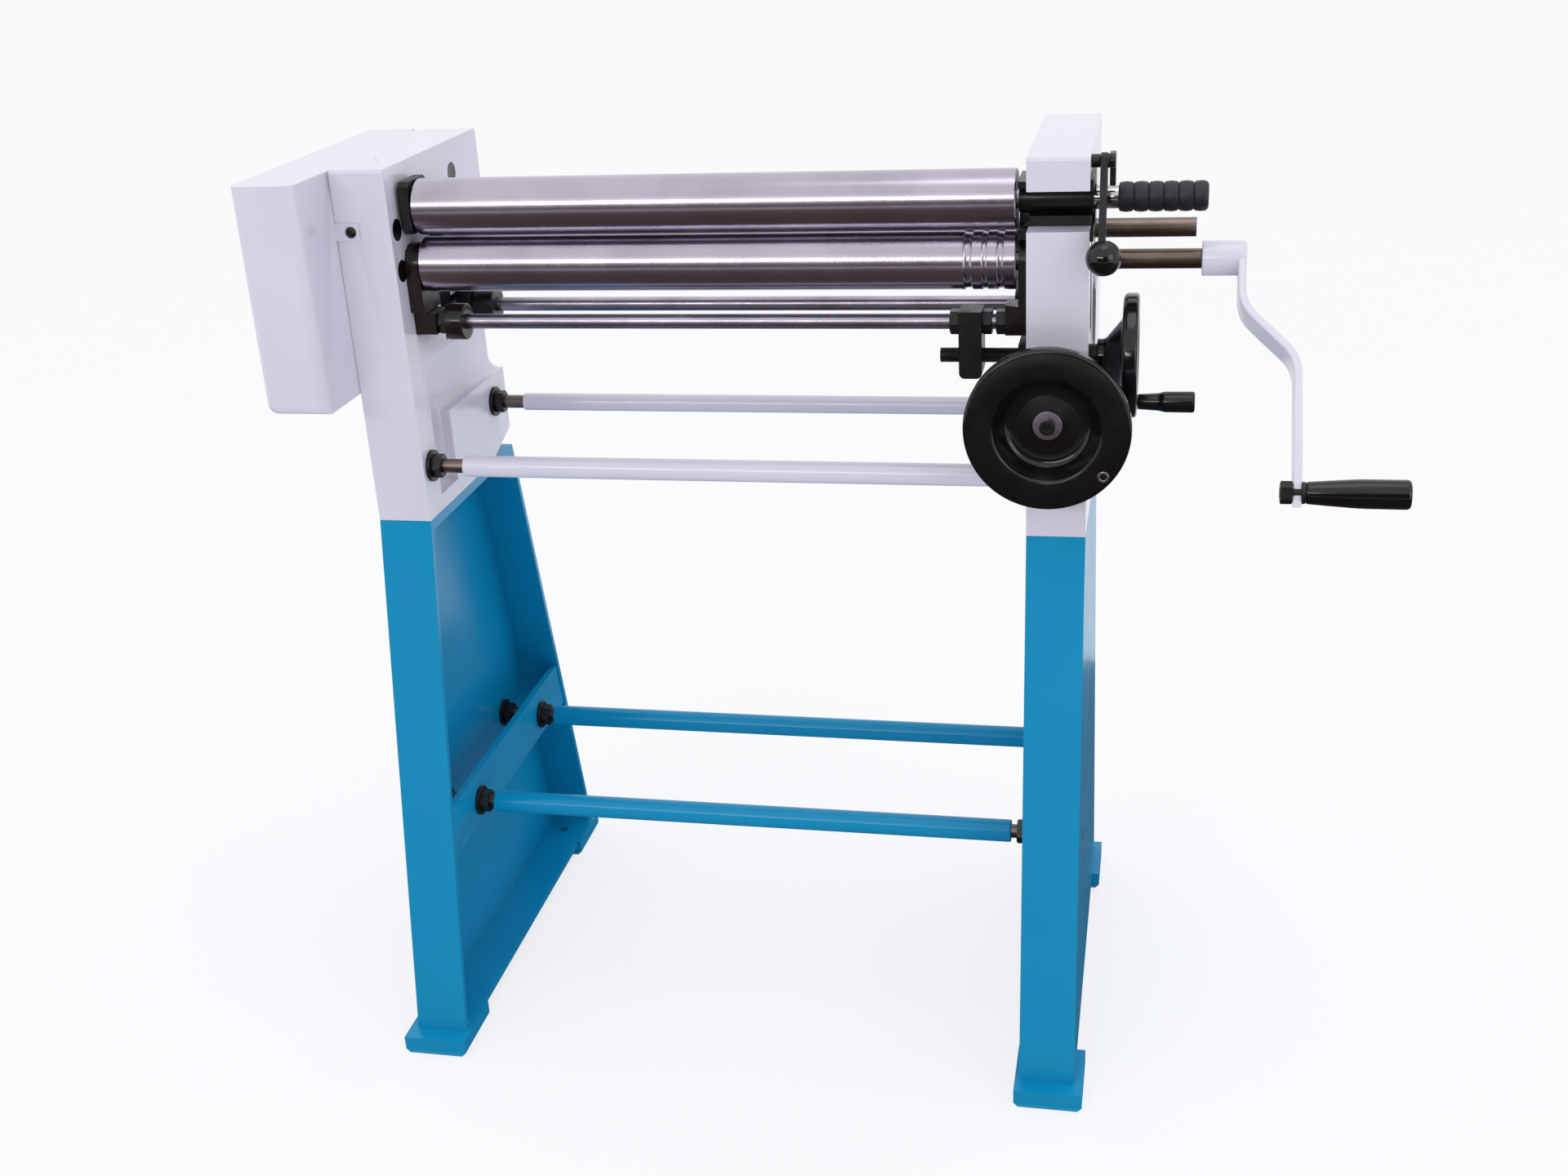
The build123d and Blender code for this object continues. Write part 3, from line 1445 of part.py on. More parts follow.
def arm_x():
    """Middle of the crank arm's thickness at the hub and at the handle."""
    start = outer_x + crank_hub_start + crank_hub_length - crank_arm_thickness / 2
    return start, start + crank_offset


def make_crank_arm():
    """The crank: round hub and a flat bar with a double bend, rounded at both ends."""
    x0, x1 = arm_x()
    z0, z1 = lower_axis_z, lower_axis_z - crank_radius
    bend0, bend1 = lower_axis_z - crank_bend_start, lower_axis_z - crank_bend_end
    corners = [(x0, roll_y, z0), (x0, roll_y, bend0), (x1, roll_y, bend1), (x1, roll_y, z1)]
    path = FilletPolyline(corners, radius=crank_bend_round)
    section = Plane(origin=corners[0], x_dir=(1, 0, 0), z_dir=(0, 0, -1))
    arm = sweep(section * Rectangle(crank_arm_thickness, crank_arm_width), path=path)
    for x, z in ((x0, z0), (x1, z1)):
        half = crank_arm_thickness / 2
        arm += bar_x(roll_y, z, crank_arm_width / 2, x - half, x + half)
    hub_start = outer_x + crank_hub_start
    hub_end = hub_start + crank_hub_length
    arm += bar_x(roll_y, lower_axis_z, crank_hub_radius, hub_start, hub_end)
    arm -= bar_x(roll_y, lower_axis_z, crank_shaft_radius, hub_start - overrun, hub_end + overrun)
    radius = crank_axle_radius
    x_low, x_high = x1 - crank_arm_thickness, x1 + crank_arm_thickness
    return turn_crank(arm - bar_x(roll_y, z1, radius, x_low, x_high))


def handle_start():
    """Inner end of the crank's handle."""
    return arm_x()[1] + crank_arm_thickness / 2 + crank_handle_gap


def make_crank_axle():
    """The shouldered axle of the crank's handle, with its nut behind the arm."""
    z = lower_axis_z - crank_radius
    arm_inner = arm_x()[1] - crank_arm_thickness / 2
    arm_outer = arm_x()[1] + crank_arm_thickness / 2
    end = handle_start() + crank_handle_length - crank_handle_end_radius
    axle = bar_x(roll_y, z, crank_axle_radius, arm_inner - crank_nut_height, end)
    axle += bar_x(roll_y, z, crank_handle_neck_radius, arm_outer, handle_start() - slide_gap)
    return turn_crank(axle)


def make_crank_nut():
    """The hexagon nut on the handle axle."""
    z = lower_axis_z - crank_radius
    arm_inner = arm_x()[1] - crank_arm_thickness / 2
    start = arm_inner - crank_nut_height
    nut = hex_x(roll_y, z, crank_nut_across, start, arm_inner)
    return turn_crank(nut - bar_x(roll_y, z, crank_axle_radius, start - overrun, arm_inner + overrun))


def make_crank_handle():
    """The revolving crank handle, fuller towards its rounded end."""
    start = handle_start()
    end = start + crank_handle_length
    bore = crank_axle_radius + running_fit
    bore_end = end - crank_handle_end_radius + slide_gap
    edge = crank_handle_end_radius * crank_handle_edge_share
    points = [
        (start, bore),
        (start, crank_handle_neck_radius - edge / 2),
        (start + edge, crank_handle_neck_radius),
        (start + crank_handle_length / 2, crank_handle_end_radius),
        (end - edge, crank_handle_end_radius),
        (end, crank_handle_end_radius - edge),
        (end, 0),
        (bore_end, 0),
        (bore_end, bore),
    ]
    return turn_crank(turned_x(points, roll_y, lower_axis_z - crank_radius))


def all_nodes():
    """Every node's name with its solid or group of solids."""
    upper, lower, rear = upper_axis_z, lower_axis_z, rear_axis_z
    return {
        "left_stand": make_stand(-1),
        "right_stand": make_stand(1),
        "stand_rods": [make_stand_rod(-stand_rod_half_span), make_stand_rod(stand_rod_half_span)],
        "stand_rod_nuts": make_stand_rod_nuts(),
        "left_housing": make_left_housing(),
        "right_housing": make_right_housing(),
        "housing_bolts": make_housing_bolts(),
        "housing_rods": [make_housing_rod(0), make_housing_rod(1)],
        "housing_rod_nuts": make_housing_rod_nuts(),
        "face_plugs": make_face_plugs(),
        "gear_cover": make_gear_cover(),
        "cover_screws": make_cover_screws(),
        "upper_roll": make_upper_roll(),
        "lower_roll": make_lower_roll(),
        "rear_roll": make_rear_roll(),
        "lower_block_left": make_lower_block(-1),
        "lower_block_right": make_lower_block(1),
        "lower_bushes": [make_block_bush(side, roll_y, lower, journal_radius) for side in (-1, 1)],
        "rear_block_left": make_rear_block(-1),
        "rear_block_right": make_rear_block(1),
        "rear_bushes": [make_block_bush(side, rear_y, rear, rear_journal_radius) for side in (-1, 1)],
        "wedges": [make_wedge(-1), make_wedge(1)],
        "wedge_rod": make_wedge_rod(),
        "rod_collar": make_rod_collar(),
        "clamp_block": make_clamp_block(),
        "rod_lock_nuts": make_rod_lock_nuts(),
        "side_screw": make_side_screw(),
        "side_screw_bush": make_side_screw_bush(),
        "side_wheel": make_side_wheel(),
        "side_wheel_screw": make_side_wheel_screw(),
        "side_handle_pin": make_side_handle_pin(),
        "side_handle": make_side_handle(),
        "front_screw": make_front_screw(),
        "front_wheel": make_front_wheel(),
        "front_wheel_screw": make_front_wheel_screw(),
        "handle_insert": make_handle_insert(),
        "travel_nut": make_travel_nut(),
        "lift_shaft": make_lift_shaft(),
        "shaft_collars": make_shaft_collars(),
        "lift_arms": [make_lift_arm(-1), make_lift_arm(1), make_drop_arm()],
        "shaft_brackets": [make_shaft_bracket(-1), make_shaft_bracket(1)],
        "access_plate": make_access_plate(),
        "swivel_block": make_swivel_block(),
        "swivel_bush": make_swivel_bush(),
        "swivel_pins": make_swivel_pins(),
        "journal_sleeve": make_journal_sleeve(),
        "grip_stem": make_grip_stem(),
        "lift_grip": make_lift_grip(),
        "slot_plates": [make_inner_keeper(), make_wear_plate(), make_saddle()],
        "roll_stop": make_roll_stop(),
        "release_lever": make_release_lever(),
        "ball_knob": make_ball_knob(),
        "lever_pivot": make_lever_pivot(),
        "feed_gear_upper": [make_upper_gear(), make_gear_nut(upper)],
        "feed_gear_lower": [make_lower_gear(), make_gear_nut(lower), make_lower_spacer()],
        "stub_shaft": make_stub_shaft(),
        "stub_bush": make_stub_bush(),
        "crank_arm": make_crank_arm(),
        "crank_axle": [make_crank_axle(), make_crank_nut()],
        "crank_handle": make_crank_handle(),
    }


def main():
    """Writes one file for each node."""
    os.makedirs("parts", exist_ok=True)
    for name, shape in all_nodes().items():
        if isinstance(shape, list):
            shape = Compound(children=shape)
        export_step(shape, "parts/" + name + ".step")


main()
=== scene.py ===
"""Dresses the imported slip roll: soft-edged castings, turned rolls, rods and wheels, and a pale studio."""

import math

import bmesh
import bpy
import numpy as np
from bpy.props import FloatProperty, FloatVectorProperty, IntProperty, PointerProperty
from mathutils import Matrix, Vector


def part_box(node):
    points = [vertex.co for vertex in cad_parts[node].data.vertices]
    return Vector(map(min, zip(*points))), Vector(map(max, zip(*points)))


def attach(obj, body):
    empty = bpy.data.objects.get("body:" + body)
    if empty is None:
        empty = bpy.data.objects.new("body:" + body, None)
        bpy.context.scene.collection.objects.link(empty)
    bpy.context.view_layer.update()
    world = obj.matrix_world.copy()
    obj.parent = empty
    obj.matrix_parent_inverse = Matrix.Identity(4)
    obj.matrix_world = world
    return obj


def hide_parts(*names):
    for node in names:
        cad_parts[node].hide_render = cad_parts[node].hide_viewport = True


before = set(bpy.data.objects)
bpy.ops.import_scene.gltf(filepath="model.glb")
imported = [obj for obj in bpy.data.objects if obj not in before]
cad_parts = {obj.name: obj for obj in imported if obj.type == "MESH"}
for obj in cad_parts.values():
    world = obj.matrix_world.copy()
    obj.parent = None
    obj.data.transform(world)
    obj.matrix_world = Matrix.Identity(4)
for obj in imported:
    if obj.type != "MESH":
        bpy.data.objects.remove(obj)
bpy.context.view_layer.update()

bl_info = {
    "name": "Slip Roll",
    "version": (1, 0, 0),
    "blender": (4, 5, 0),
    "location": "View3D > Sidebar > Slip Roll",
    "description": "Builds the visible pieces and finishes of a hand slip roll",
    "category": "Add Mesh",
}

MM = 0.001
MERGE_DISTANCE = 2e-6
SKIN_CREASE = 30


def linear(code):
    """Turns an sRGB hex colour into linear red, green and blue."""
    channels = np.array([int(code[i:i + 2], 16) for i in (1, 3, 5)]) / 255
    low, high = channels / 12.92, ((channels + 0.055) / 1.055) ** 2.4
    return tuple(float(v) for v in np.where(channels <= 0.04045, low, high))


def length(name, description, default):
    """A length setting, given in millimetres and kept in metres."""
    return FloatProperty(name=name, description=description, default=default * MM, unit="LENGTH", precision=4)


def colour(name, description, code):
    """A colour setting, given as an sRGB hex value and kept linear."""
    return FloatVectorProperty(
        name=name, description=description, default=linear(code), subtype="COLOR", size=3, min=0, max=1
    )


class SlipRollSizes(bpy.types.PropertyGroup):
    """Sizes that shape the visible pieces."""

    casting_edge: length("Casting edge", "Rounding of the painted castings' edges", 2.2)
    block_edge: length("Block edge", "Rounding of the black blocks' edges", 0.8)
    roll_radius: length("Roll radius", "Radius of the three rolls", 30)
    roll_left: length("Roll left end", "Place of the rolls' left end faces", -318)
    roll_right: length("Roll right end", "Place of the rolls' right end faces", 324)
    stand_rod_radius: length("Stand rod radius", "Radius of the painted stand rods", 13)
    front_rod_radius: length("Front rod radius", "Radius of the front housing rod", 12)
    back_rod_radius: length("Back rod radius", "Radius of the back housing rod", 10.5)
    front_wheel_radius: length("Front wheel radius", "Radius of the front handwheel", 84.5)
    side_wheel_radius: length("Side wheel radius", "Radius of the side handwheel", 64)
    wheel_depth: length("Wheel depth", "Depth of both handwheels", 42)
    grip_radius: length("Grip radius", "Radius of the ribbed grip", 15)
    grip_ribs: IntProperty(name="Grip ribs", description="Number of lands on the grip", default=6, min=2)
    ball_radius: length("Ball radius", "Radius of the lever's ball", 17.5)


class SlipRollColours(bpy.types.PropertyGroup):
    """Colours of the finishes."""

    blue_enamel: colour("Blue enamel", "Paint of the stands", "#0890BE")
    pale_enamel: colour("Pale enamel", "Paint of the housings and cover", "#DCD9E4")
    ground_steel: colour("Ground steel", "Rolls and bright rods", "#BDB7C5")
    bare_steel: colour("Bare steel", "Unpainted ends of the tie rods and roll shafts", "#8E7F76")
    black_oxide: colour("Black oxide", "Blackened blocks and fasteners", "#141214")
    grease: colour("Grease", "Blackened blocks that sit in grease", "#1A1210")
    phenolic: colour("Phenolic", "Handwheels and handles", "#0B0A0D")
    rubber: colour("Rubber", "Ribbed grip", "#191B20")
    plating: colour("Plating", "Bright stem and insert", "#C4C4C8")
    bronze: colour("Bronze", "Bearing bushes", "#9C7A46")
    floor: colour("Floor", "Floor of the studio", "#F2F2F4")
    card: colour("Card", "Dark cards that the bright metal mirrors", "#52433F")


def sizes():
    """The scene's size settings."""
    return bpy.context.scene.slip_roll_sizes


def colours():
    """The scene's colour settings."""
    return bpy.context.scene.slip_roll_colours


# Materials

def node(tree, kind, inputs=(), **settings):
    """Adds one node, sets its properties, and fills or links its inputs, which are named or numbered."""
    made = tree.nodes.new(kind)
    for key, value in settings.items():
        setattr(made, key, value)
    for key, value in dict(inputs).items():
        if isinstance(value, bpy.types.NodeSocket):
            tree.links.new(value, made.inputs[key])
        else:
            made.inputs[key].default_value = value
    return made


def shade(tone, factor=1.0):
    """An opaque colour, made darker or lighter."""
    return (*(min(1.0, c * factor) for c in tone), 1.0)


def per_mm(width):
    """The noise scale whose blobs are about so many millimetres wide."""
    return 1 / (width * MM)


def finish(name, surface, tone, *details):
    """Makes a material once: the surface function builds its pattern and gives the shader's inputs."""
    found = bpy.data.materials.get(name)
    if found:
        return found
    material = bpy.data.materials.new(name)
    material.use_nodes = True
    material.diffuse_color = shade(tone)
    tree = material.node_tree
    tree.nodes.clear()
    place = node(tree, "ShaderNodeTexCoord").outputs["Object"]
    shader = node(tree, "ShaderNodeBsdfPrincipled", surface(tree, place, tone, *details))
    node(tree, "ShaderNodeOutputMaterial", {"Surface": shader.outputs["BSDF"]})
    return material


def enamel(tree, place, tone, wave_depth, coat_share, shine):
    """Glossy air-drying enamel: the casting's skin shows as a slow wave 60 mm wide, under an orange peel
    3 mm wide, and the tone drifts a little where the coat is thicker."""
    clouds = node(tree, "ShaderNodeTexNoise", {"Vector": place, "Scale": per_mm(150), "Detail": 1.0})
    drift = node(tree, "ShaderNodeMix", {
        0: clouds.outputs["Fac"], 6: shade(tone, 0.94), 7: shade(tone, 1.03)}, data_type="RGBA")
    gloss = node(tree, "ShaderNodeMapRange", {"Value": clouds.outputs["Fac"], "To Min": 0.2, "To Max": 0.3})
    wave = node(tree, "ShaderNodeTexNoise", {"Vector": place, "Scale": per_mm(60), "Detail": 0.0})
    peel = node(tree, "ShaderNodeTexNoise", {"Vector": place, "Scale": per_mm(3), "Detail": 0.0})
    skin = node(tree, "ShaderNodeBump", {"Height": wave.outputs["Fac"], "Distance": wave_depth * MM})
    grain = node(tree, "ShaderNodeBump", {
        "Height": peel.outputs["Fac"], "Distance": 0.012 * MM, "Normal": skin.outputs["Normal"]})
    return {"Base Color": drift.outputs[2], "Roughness": gloss.outputs["Result"],
            "Normal": grain.outputs["Normal"], "Specular IOR Level": shine,
            "Coat Weight": coat_share, "Coat Roughness": 0.06}


def blue_enamel():
    """Sky-blue enamel over a sand casting, whose skin shows through as a slow wave."""
    return finish("blue_enamel_on_cast_iron", enamel, colours().blue_enamel, 0.4, 0.0, 0.3)


def pale_enamel():
    """Pale lavender-grey enamel on filled and rubbed castings and folded sheet."""
    return finish("pale_enamel_on_castings", enamel, colours().pale_enamel, 0.2, 0.3, 0.5)


def worked_steel(tree, place, tone, lay, line_width, smooth, rough, film_tone):
    """Bare steel cut by a grinding wheel or a die: lines along one direction, and an uneven film of oil that
    darkens it a little."""
    patches = node(tree, "ShaderNodeTexNoise", {"Vector": place, "Scale": per_mm(70), "Detail": 3.0})
    film = node(tree, "ShaderNodeMapRange", {
        "Value": patches.outputs["Fac"], "From Min": 0.35, "From Max": 0.7})
    oiled = node(tree, "ShaderNodeMix", {
        0: film.outputs["Result"], 6: shade(tone), 7: film_tone}, data_type="RGBA")
    stretched = node(tree, "ShaderNodeMapping", {"Vector": place, "Scale": lay})
    lines = node(tree, "ShaderNodeTexNoise", {
        "Vector": stretched.outputs["Vector"], "Scale": per_mm(line_width), "Detail": 2.0})
    gloss = node(tree, "ShaderNodeMapRange", {
        "Value": lines.outputs["Fac"], "From Min": 0.3, "From Max": 0.7, "To Min": smooth, "To Max": rough})
    score = node(tree, "ShaderNodeBump", {"Height": lines.outputs["Fac"], "Distance": 0.001 * MM})
    return {"Base Color": oiled.outputs[2], "Metallic": 1.0, "Roughness": gloss.outputs["Result"],
            "Normal": score.outputs["Normal"]}


ROUND_AXIS = (1.0, 0.04, 0.04)
ALONG_AXIS = (0.04, 1.0, 1.0)


def ground_steel():
    """Cylindrically ground steel: rings round the axis, drawn 1.6 mm wide so that they show."""
    tone = colours().ground_steel
    return finish("cylindrically_ground_steel", worked_steel, tone, ROUND_AXIS, 1.6, 0.2, 0.26,
                  shade(tone, 0.86))


def drawn_steel():
    """Bright drawn bar: dull lines along its length, 1.2 mm wide."""
    tone = colours().ground_steel
    return finish("bright_drawn_steel", worked_steel, tone, ALONG_AXIS, 1.2, 0.24, 0.38, shade(tone, 0.7))


def bare_steel():
    """Turned rod and shaft ends left unpainted, with brown storage rust just starting."""
    tone = colours().bare_steel
    return finish("browned_turned_steel", worked_steel, tone, ROUND_AXIS, 1.0, 0.28, 0.42, shade(tone, 0.6))


def plating():
    """Bright nickel plating on turned steel."""
    tone = colours().plating
    return finish("bright_plating", worked_steel, tone, ROUND_AXIS, 1.6, 0.08, 0.16, shade(tone, 0.9))


def bronze():
    """Turned bearing bronze with tool rings."""
    tone = colours().bronze
    return finish("turned_bronze", worked_steel, tone, ROUND_AXIS, 1.0, 0.28, 0.4, shade(tone, 0.7))


def oxide(tree, place, tone, rubbed, smooth, rough):
    """Hot black oxide on machined steel: near black, lighter where it is rubbed, with a fine grain."""
    wear = node(tree, "ShaderNodeTexNoise", {"Vector": place, "Scale": per_mm(16), "Detail": 3.0})
    patch = node(tree, "ShaderNodeMapRange", {
        "Value": wear.outputs["Fac"], "From Min": 0.48, "From Max": 0.75})
    mixed = node(tree, "ShaderNodeMix", {
        0: patch.outputs["Result"], 6: shade(tone), 7: rubbed}, data_type="RGBA")
    gloss = node(tree, "ShaderNodeMapRange", {
        "Value": wear.outputs["Fac"], "From Min": 0.3, "From Max": 0.7, "To Min": smooth, "To Max": rough})
    grain = node(tree, "ShaderNodeTexNoise", {"Vector": place, "Scale": per_mm(1.2), "Detail": 1.0})
    tooth = node(tree, "ShaderNodeBump", {"Height": grain.outputs["Fac"], "Distance": 0.012 * MM})
    return {"Base Color": mixed.outputs[2], "Roughness": gloss.outputs["Result"],
            "Normal": tooth.outputs["Normal"], "Specular IOR Level": 0.4}


def black_oxide():
    """The oiled black of blocks, nuts and levers."""
    tone = colours().black_oxide
    return finish("black_oxide_on_steel", oxide, tone, shade(tone, 1.7), 0.26, 0.42)


def greasy_oxide():
    """Blocks and collars that sit in lubricating grease: brown-black and wetter."""
    tone = colours().grease
    return finish("greasy_black_oxide", oxide, tone, shade(tone, 1.6), 0.16, 0.34)


def phenolic_surface(tree, place, tone):
    """Moulded phenolic: deep polished black with a faint haze of handling and a slow wave 9 mm wide."""
    haze = node(tree, "ShaderNodeTexNoise", {"Vector": place, "Scale": per_mm(24), "Detail": 3.0})
    dulled = node(tree, "ShaderNodeMix", {
        0: haze.outputs["Fac"], 6: shade(tone), 7: shade(tone, 1.4)}, data_type="RGBA")
    gloss = node(tree, "ShaderNodeMapRange", {
        "Value": haze.outputs["Fac"], "From Min": 0.3, "From Max": 0.7, "To Min": 0.1, "To Max": 0.2})
    flow = node(tree, "ShaderNodeTexNoise", {"Vector": place, "Scale": per_mm(9), "Detail": 0.0})
    wave = node(tree, "ShaderNodeBump", {"Height": flow.outputs["Fac"], "Distance": 0.02 * MM})
    return {"Base Color": dulled.outputs[2], "Roughness": gloss.outputs["Result"],
            "Normal": wave.outputs["Normal"]}


def phenolic():
    """The moulded black of handwheels, handles and the ball."""
    return finish("moulded_phenolic", phenolic_surface, colours().phenolic)


def rubber_surface(tree, place, tone):
    """Moulded rubber: dull black with a bluish bloom in patches 12 mm wide and a grain of 0.9 mm."""
    bloom = node(tree, "ShaderNodeTexNoise", {"Vector": place, "Scale": per_mm(12), "Detail": 2.0})
    greyed = node(tree, "ShaderNodeMix", {
        0: bloom.outputs["Fac"], 6: shade(tone), 7: shade(tone, 1.3)}, data_type="RGBA")
    gloss = node(tree, "ShaderNodeMapRange", {"Value": bloom.outputs["Fac"], "To Min": 0.42, "To Max": 0.6})
    grain = node(tree, "ShaderNodeTexNoise", {"Vector": place, "Scale": per_mm(0.9), "Detail": 1.0})
    tooth = node(tree, "ShaderNodeBump", {"Height": grain.outputs["Fac"], "Distance": 0.03 * MM})
    return {"Base Color": greyed.outputs[2], "Roughness": gloss.outputs["Result"],
            "Normal": tooth.outputs["Normal"]}


def rubber():
    """The grip's rubber."""
    return finish("moulded_rubber", rubber_surface, colours().rubber)


def floor_surface(tree, place, tone):
    """Matt studio paint with a barely visible mottle 400 mm wide."""
    mottle = node(tree, "ShaderNodeTexNoise", {"Vector": place, "Scale": per_mm(400), "Detail": 1.0})
    paint = node(tree, "ShaderNodeMix", {
        0: mottle.outputs["Fac"], 6: shade(tone), 7: shade(tone, 0.985)}, data_type="RGBA")
    return {"Base Color": paint.outputs[2], "Roughness": 0.9, "Specular IOR Level": 0.2}


def shown_rays(tree):
    """One for the rays that show the background: from the camera, in a reflection or through glass."""
    rays = node(tree, "ShaderNodeLightPath").outputs
    seen = node(tree, "ShaderNodeMath", {0: rays["Is Camera Ray"], 1: rays["Is Glossy Ray"]},
                operation="MAXIMUM")
    return node(tree, "ShaderNodeMath", {0: seen.outputs[0], 1: rays["Is Transmission Ray"]},
                operation="MAXIMUM").outputs[0]


def floor_paint():
    """The floor's matt paint, to which most of a white background is added for the rays that see it from the
    camera or in a reflection. The painted share keeps the machine's shadow."""
    material = finish("matt_studio_paint", floor_surface, colours().floor)
    tree = material.node_tree
    output = tree.nodes["Material Output"]
    painted = output.inputs["Surface"].links[0].from_socket
    share = node(tree, "ShaderNodeMath", {0: shown_rays(tree), 1: 0.75}, operation="MULTIPLY")
    white = node(tree, "ShaderNodeEmission", {"Color": (1.0, 1.0, 1.0, 1.0), "Strength": 1.0})
    both = node(tree, "ShaderNodeMixShader", {0: share.outputs[0], 1: painted, 2: white.outputs["Emission"]})
    tree.links.new(both.outputs["Shader"], output.inputs["Surface"])
    return material


# Surfaces

def soften(points, radius, steps=5, closed=True):
    """Rounds a polyline's corners. Each corner P between A and B becomes the curve
    (1-s)^2 (P+rA') + 2s(1-s) P + s^2 (P+rB'), with A' and B' the unit directions and r at most 0.48
    of a side."""
    p = np.asarray(points, float)
    radius = np.broadcast_to(np.asarray(radius, float), len(p))
    back, ahead = np.roll(p, 1, 0) - p, np.roll(p, -1, 0) - p
    back_length = np.maximum(np.linalg.norm(back, axis=1), 1e-9)
    ahead_length = np.maximum(np.linalg.norm(ahead, axis=1), 1e-9)
    reach = np.minimum(radius, 0.48 * np.minimum(back_length, ahead_length))
    if not closed:
        reach[[0, -1]] = 0
    first = p + back / back_length[:, None] * reach[:, None]
    last = p + ahead / ahead_length[:, None] * reach[:, None]
    s = np.linspace(0, 1, steps)[:, None, None]
    curve = (1 - s) ** 2 * first + 2 * s * (1 - s) * p + s ** 2 * last
    line = curve.transpose(1, 0, 2).reshape(-1, p.shape[1])
    keep = np.linalg.norm(line - np.roll(line, 1, 0), axis=1) > 1e-6
    keep[0] = True
    return line[keep]


def quads(rows, columns, around=True, back_to_start=False):
    """Faces of a grid of points, closed across its columns and, if asked, from its last row to its first."""
    row = np.arange(rows if back_to_start else rows - 1)[:, None]
    column = np.arange(columns if around else columns - 1)[None, :]
    next_row, next_column = (row + 1) % rows, (column + 1) % columns
    corners = [row * columns + column, row * columns + next_column,
               next_row * columns + next_column, next_row * columns + column]
    return np.stack(corners, -1).reshape(-1, 4)


AXES = {"x": (1, 2, 0), "y": (0, 2, 1), "z": (0, 1, 2)}


def settle(across, up, along, axis, centre):
    """Puts local coordinates in the machine's frame: along the named axis, across and up on the other two."""
    points = np.empty(np.broadcast(across, up, along).shape + (3,))
    for slot, values in zip(AXES[axis], (across, up, along)):
        points[..., slot] = values
    return points + np.asarray(centre, float)


def turned(profile, axis, centre, segments=64, ring=False):
    """A turned surface: each profile point (h, r) goes round as (r cos a, r sin a, h)."""
    profile = np.asarray(profile, float)
    a = np.linspace(0, 2 * np.pi, segments, endpoint=False)[None, :]
    place, radius = profile[:, :1], profile[:, 1:]
    points = settle(radius * np.cos(a), radius * np.sin(a), place + 0 * a, axis, centre)
    return points.reshape(-1, 3), quads(len(profile), segments, True, ring).tolist()


def lathed(profile, rounding, axis, centre, segments=48, ring=False):
    """A turned surface whose profile has its corners rounded."""
    return turned(soften(profile, rounding, closed=ring), axis, centre, segments, ring)


def leaned(points, degrees):
    """Points turned about X, so that what hangs straight down leans forward by so many degrees."""
    lean = math.radians(degrees)
    turn = np.array([[1, 0, 0], [0, math.cos(lean), math.sin(lean)], [0, -math.sin(lean), math.cos(lean)]])
    return points @ turn.T


def hexagon_nut(across, bore, axis, low, high, centre, columns=72):
    """A chamfered hexagon nut: at angle a its flat lies at r = (w/2) / cos((a mod 60) - 30),
    and a 30 degree cone takes (r - w/2) tan 30 off both ends. The bore closes the ring."""
    a = np.linspace(0, 2 * np.pi, columns, endpoint=False)
    flat = across / 2 / np.cos(np.mod(a, np.pi / 3) - np.pi / 6)
    drop = (flat - across / 2) * math.tan(math.pi / 6)
    face = np.full_like(a, across / 2 * 0.97)
    inside = np.full_like(a, bore)
    radius = np.stack([inside, face, flat, flat, face, inside])
    level = np.stack([low + 0 * a, low + 0 * a, low + drop, high - drop, high + 0 * a, high + 0 * a])
    points = settle(radius * np.cos(a), radius * np.sin(a), level, axis, centre)
    return points.reshape(-1, 3), quads(6, columns, True, True).tolist()


def swept(path, section, side):
    """A section carried along a path: each point is P + u S + v (S x T), with T the path's direction
    and S the fixed side direction. Flat faces close both ends."""
    path = np.asarray(path, float)
    direction = np.gradient(path, axis=0)
    direction /= np.linalg.norm(direction, axis=1, keepdims=True)
    side = np.asarray(side, float)
    other = np.cross(np.broadcast_to(side, direction.shape), direction)
    other /= np.linalg.norm(other, axis=1, keepdims=True)
    section = np.asarray(section, float)
    points = path[:, None] + section[None, :, :1] * side + section[None, :, 1:] * other[:, None]
    count = len(section)
    faces = quads(len(path), count).tolist()
    faces.append(list(range(count))[::-1])
    faces.append(list(range((len(path) - 1) * count, len(path) * count)))
    return points.reshape(-1, 3), faces


def thread(radius, depth, pitch, low, high, axis, centre, segments=32):
    """A screw thread: r = R - d |2 frac(h/p - a/2pi) - 1|, sampled six times a pitch, with closed ends."""
    h = np.arange(low, high + pitch / 12, pitch / 6)[:, None]
    a = np.linspace(0, 2 * np.pi, segments, endpoint=False)[None, :]
    wave = np.abs(2 * np.mod(h / pitch - a / (2 * np.pi), 1) - 1)
    r = radius - depth * wave
    points = settle(r * np.cos(a), r * np.sin(a), h + 0 * a, axis, centre)
    faces = quads(len(h), segments).tolist()
    faces.append(list(range(segments))[::-1])
    faces.append(list(range((len(h) - 1) * segments, len(h) * segments)))
    return points.reshape(-1, 3), faces


def join(*surfaces):
    """Several surfaces as one list of points and faces."""
    points, faces, start = [], [], 0
    for some_points, some_faces in surfaces:
        points.append(some_points)
        faces += [[index + start for index in face] for face in some_faces]
        start += len(some_points)
    return np.concatenate(points), faces


def linked(name, mesh):
    """Puts a mesh in the scene as an object."""
    made = bpy.data.objects.new(name, mesh)
    bpy.context.scene.collection.objects.link(made)
    return made


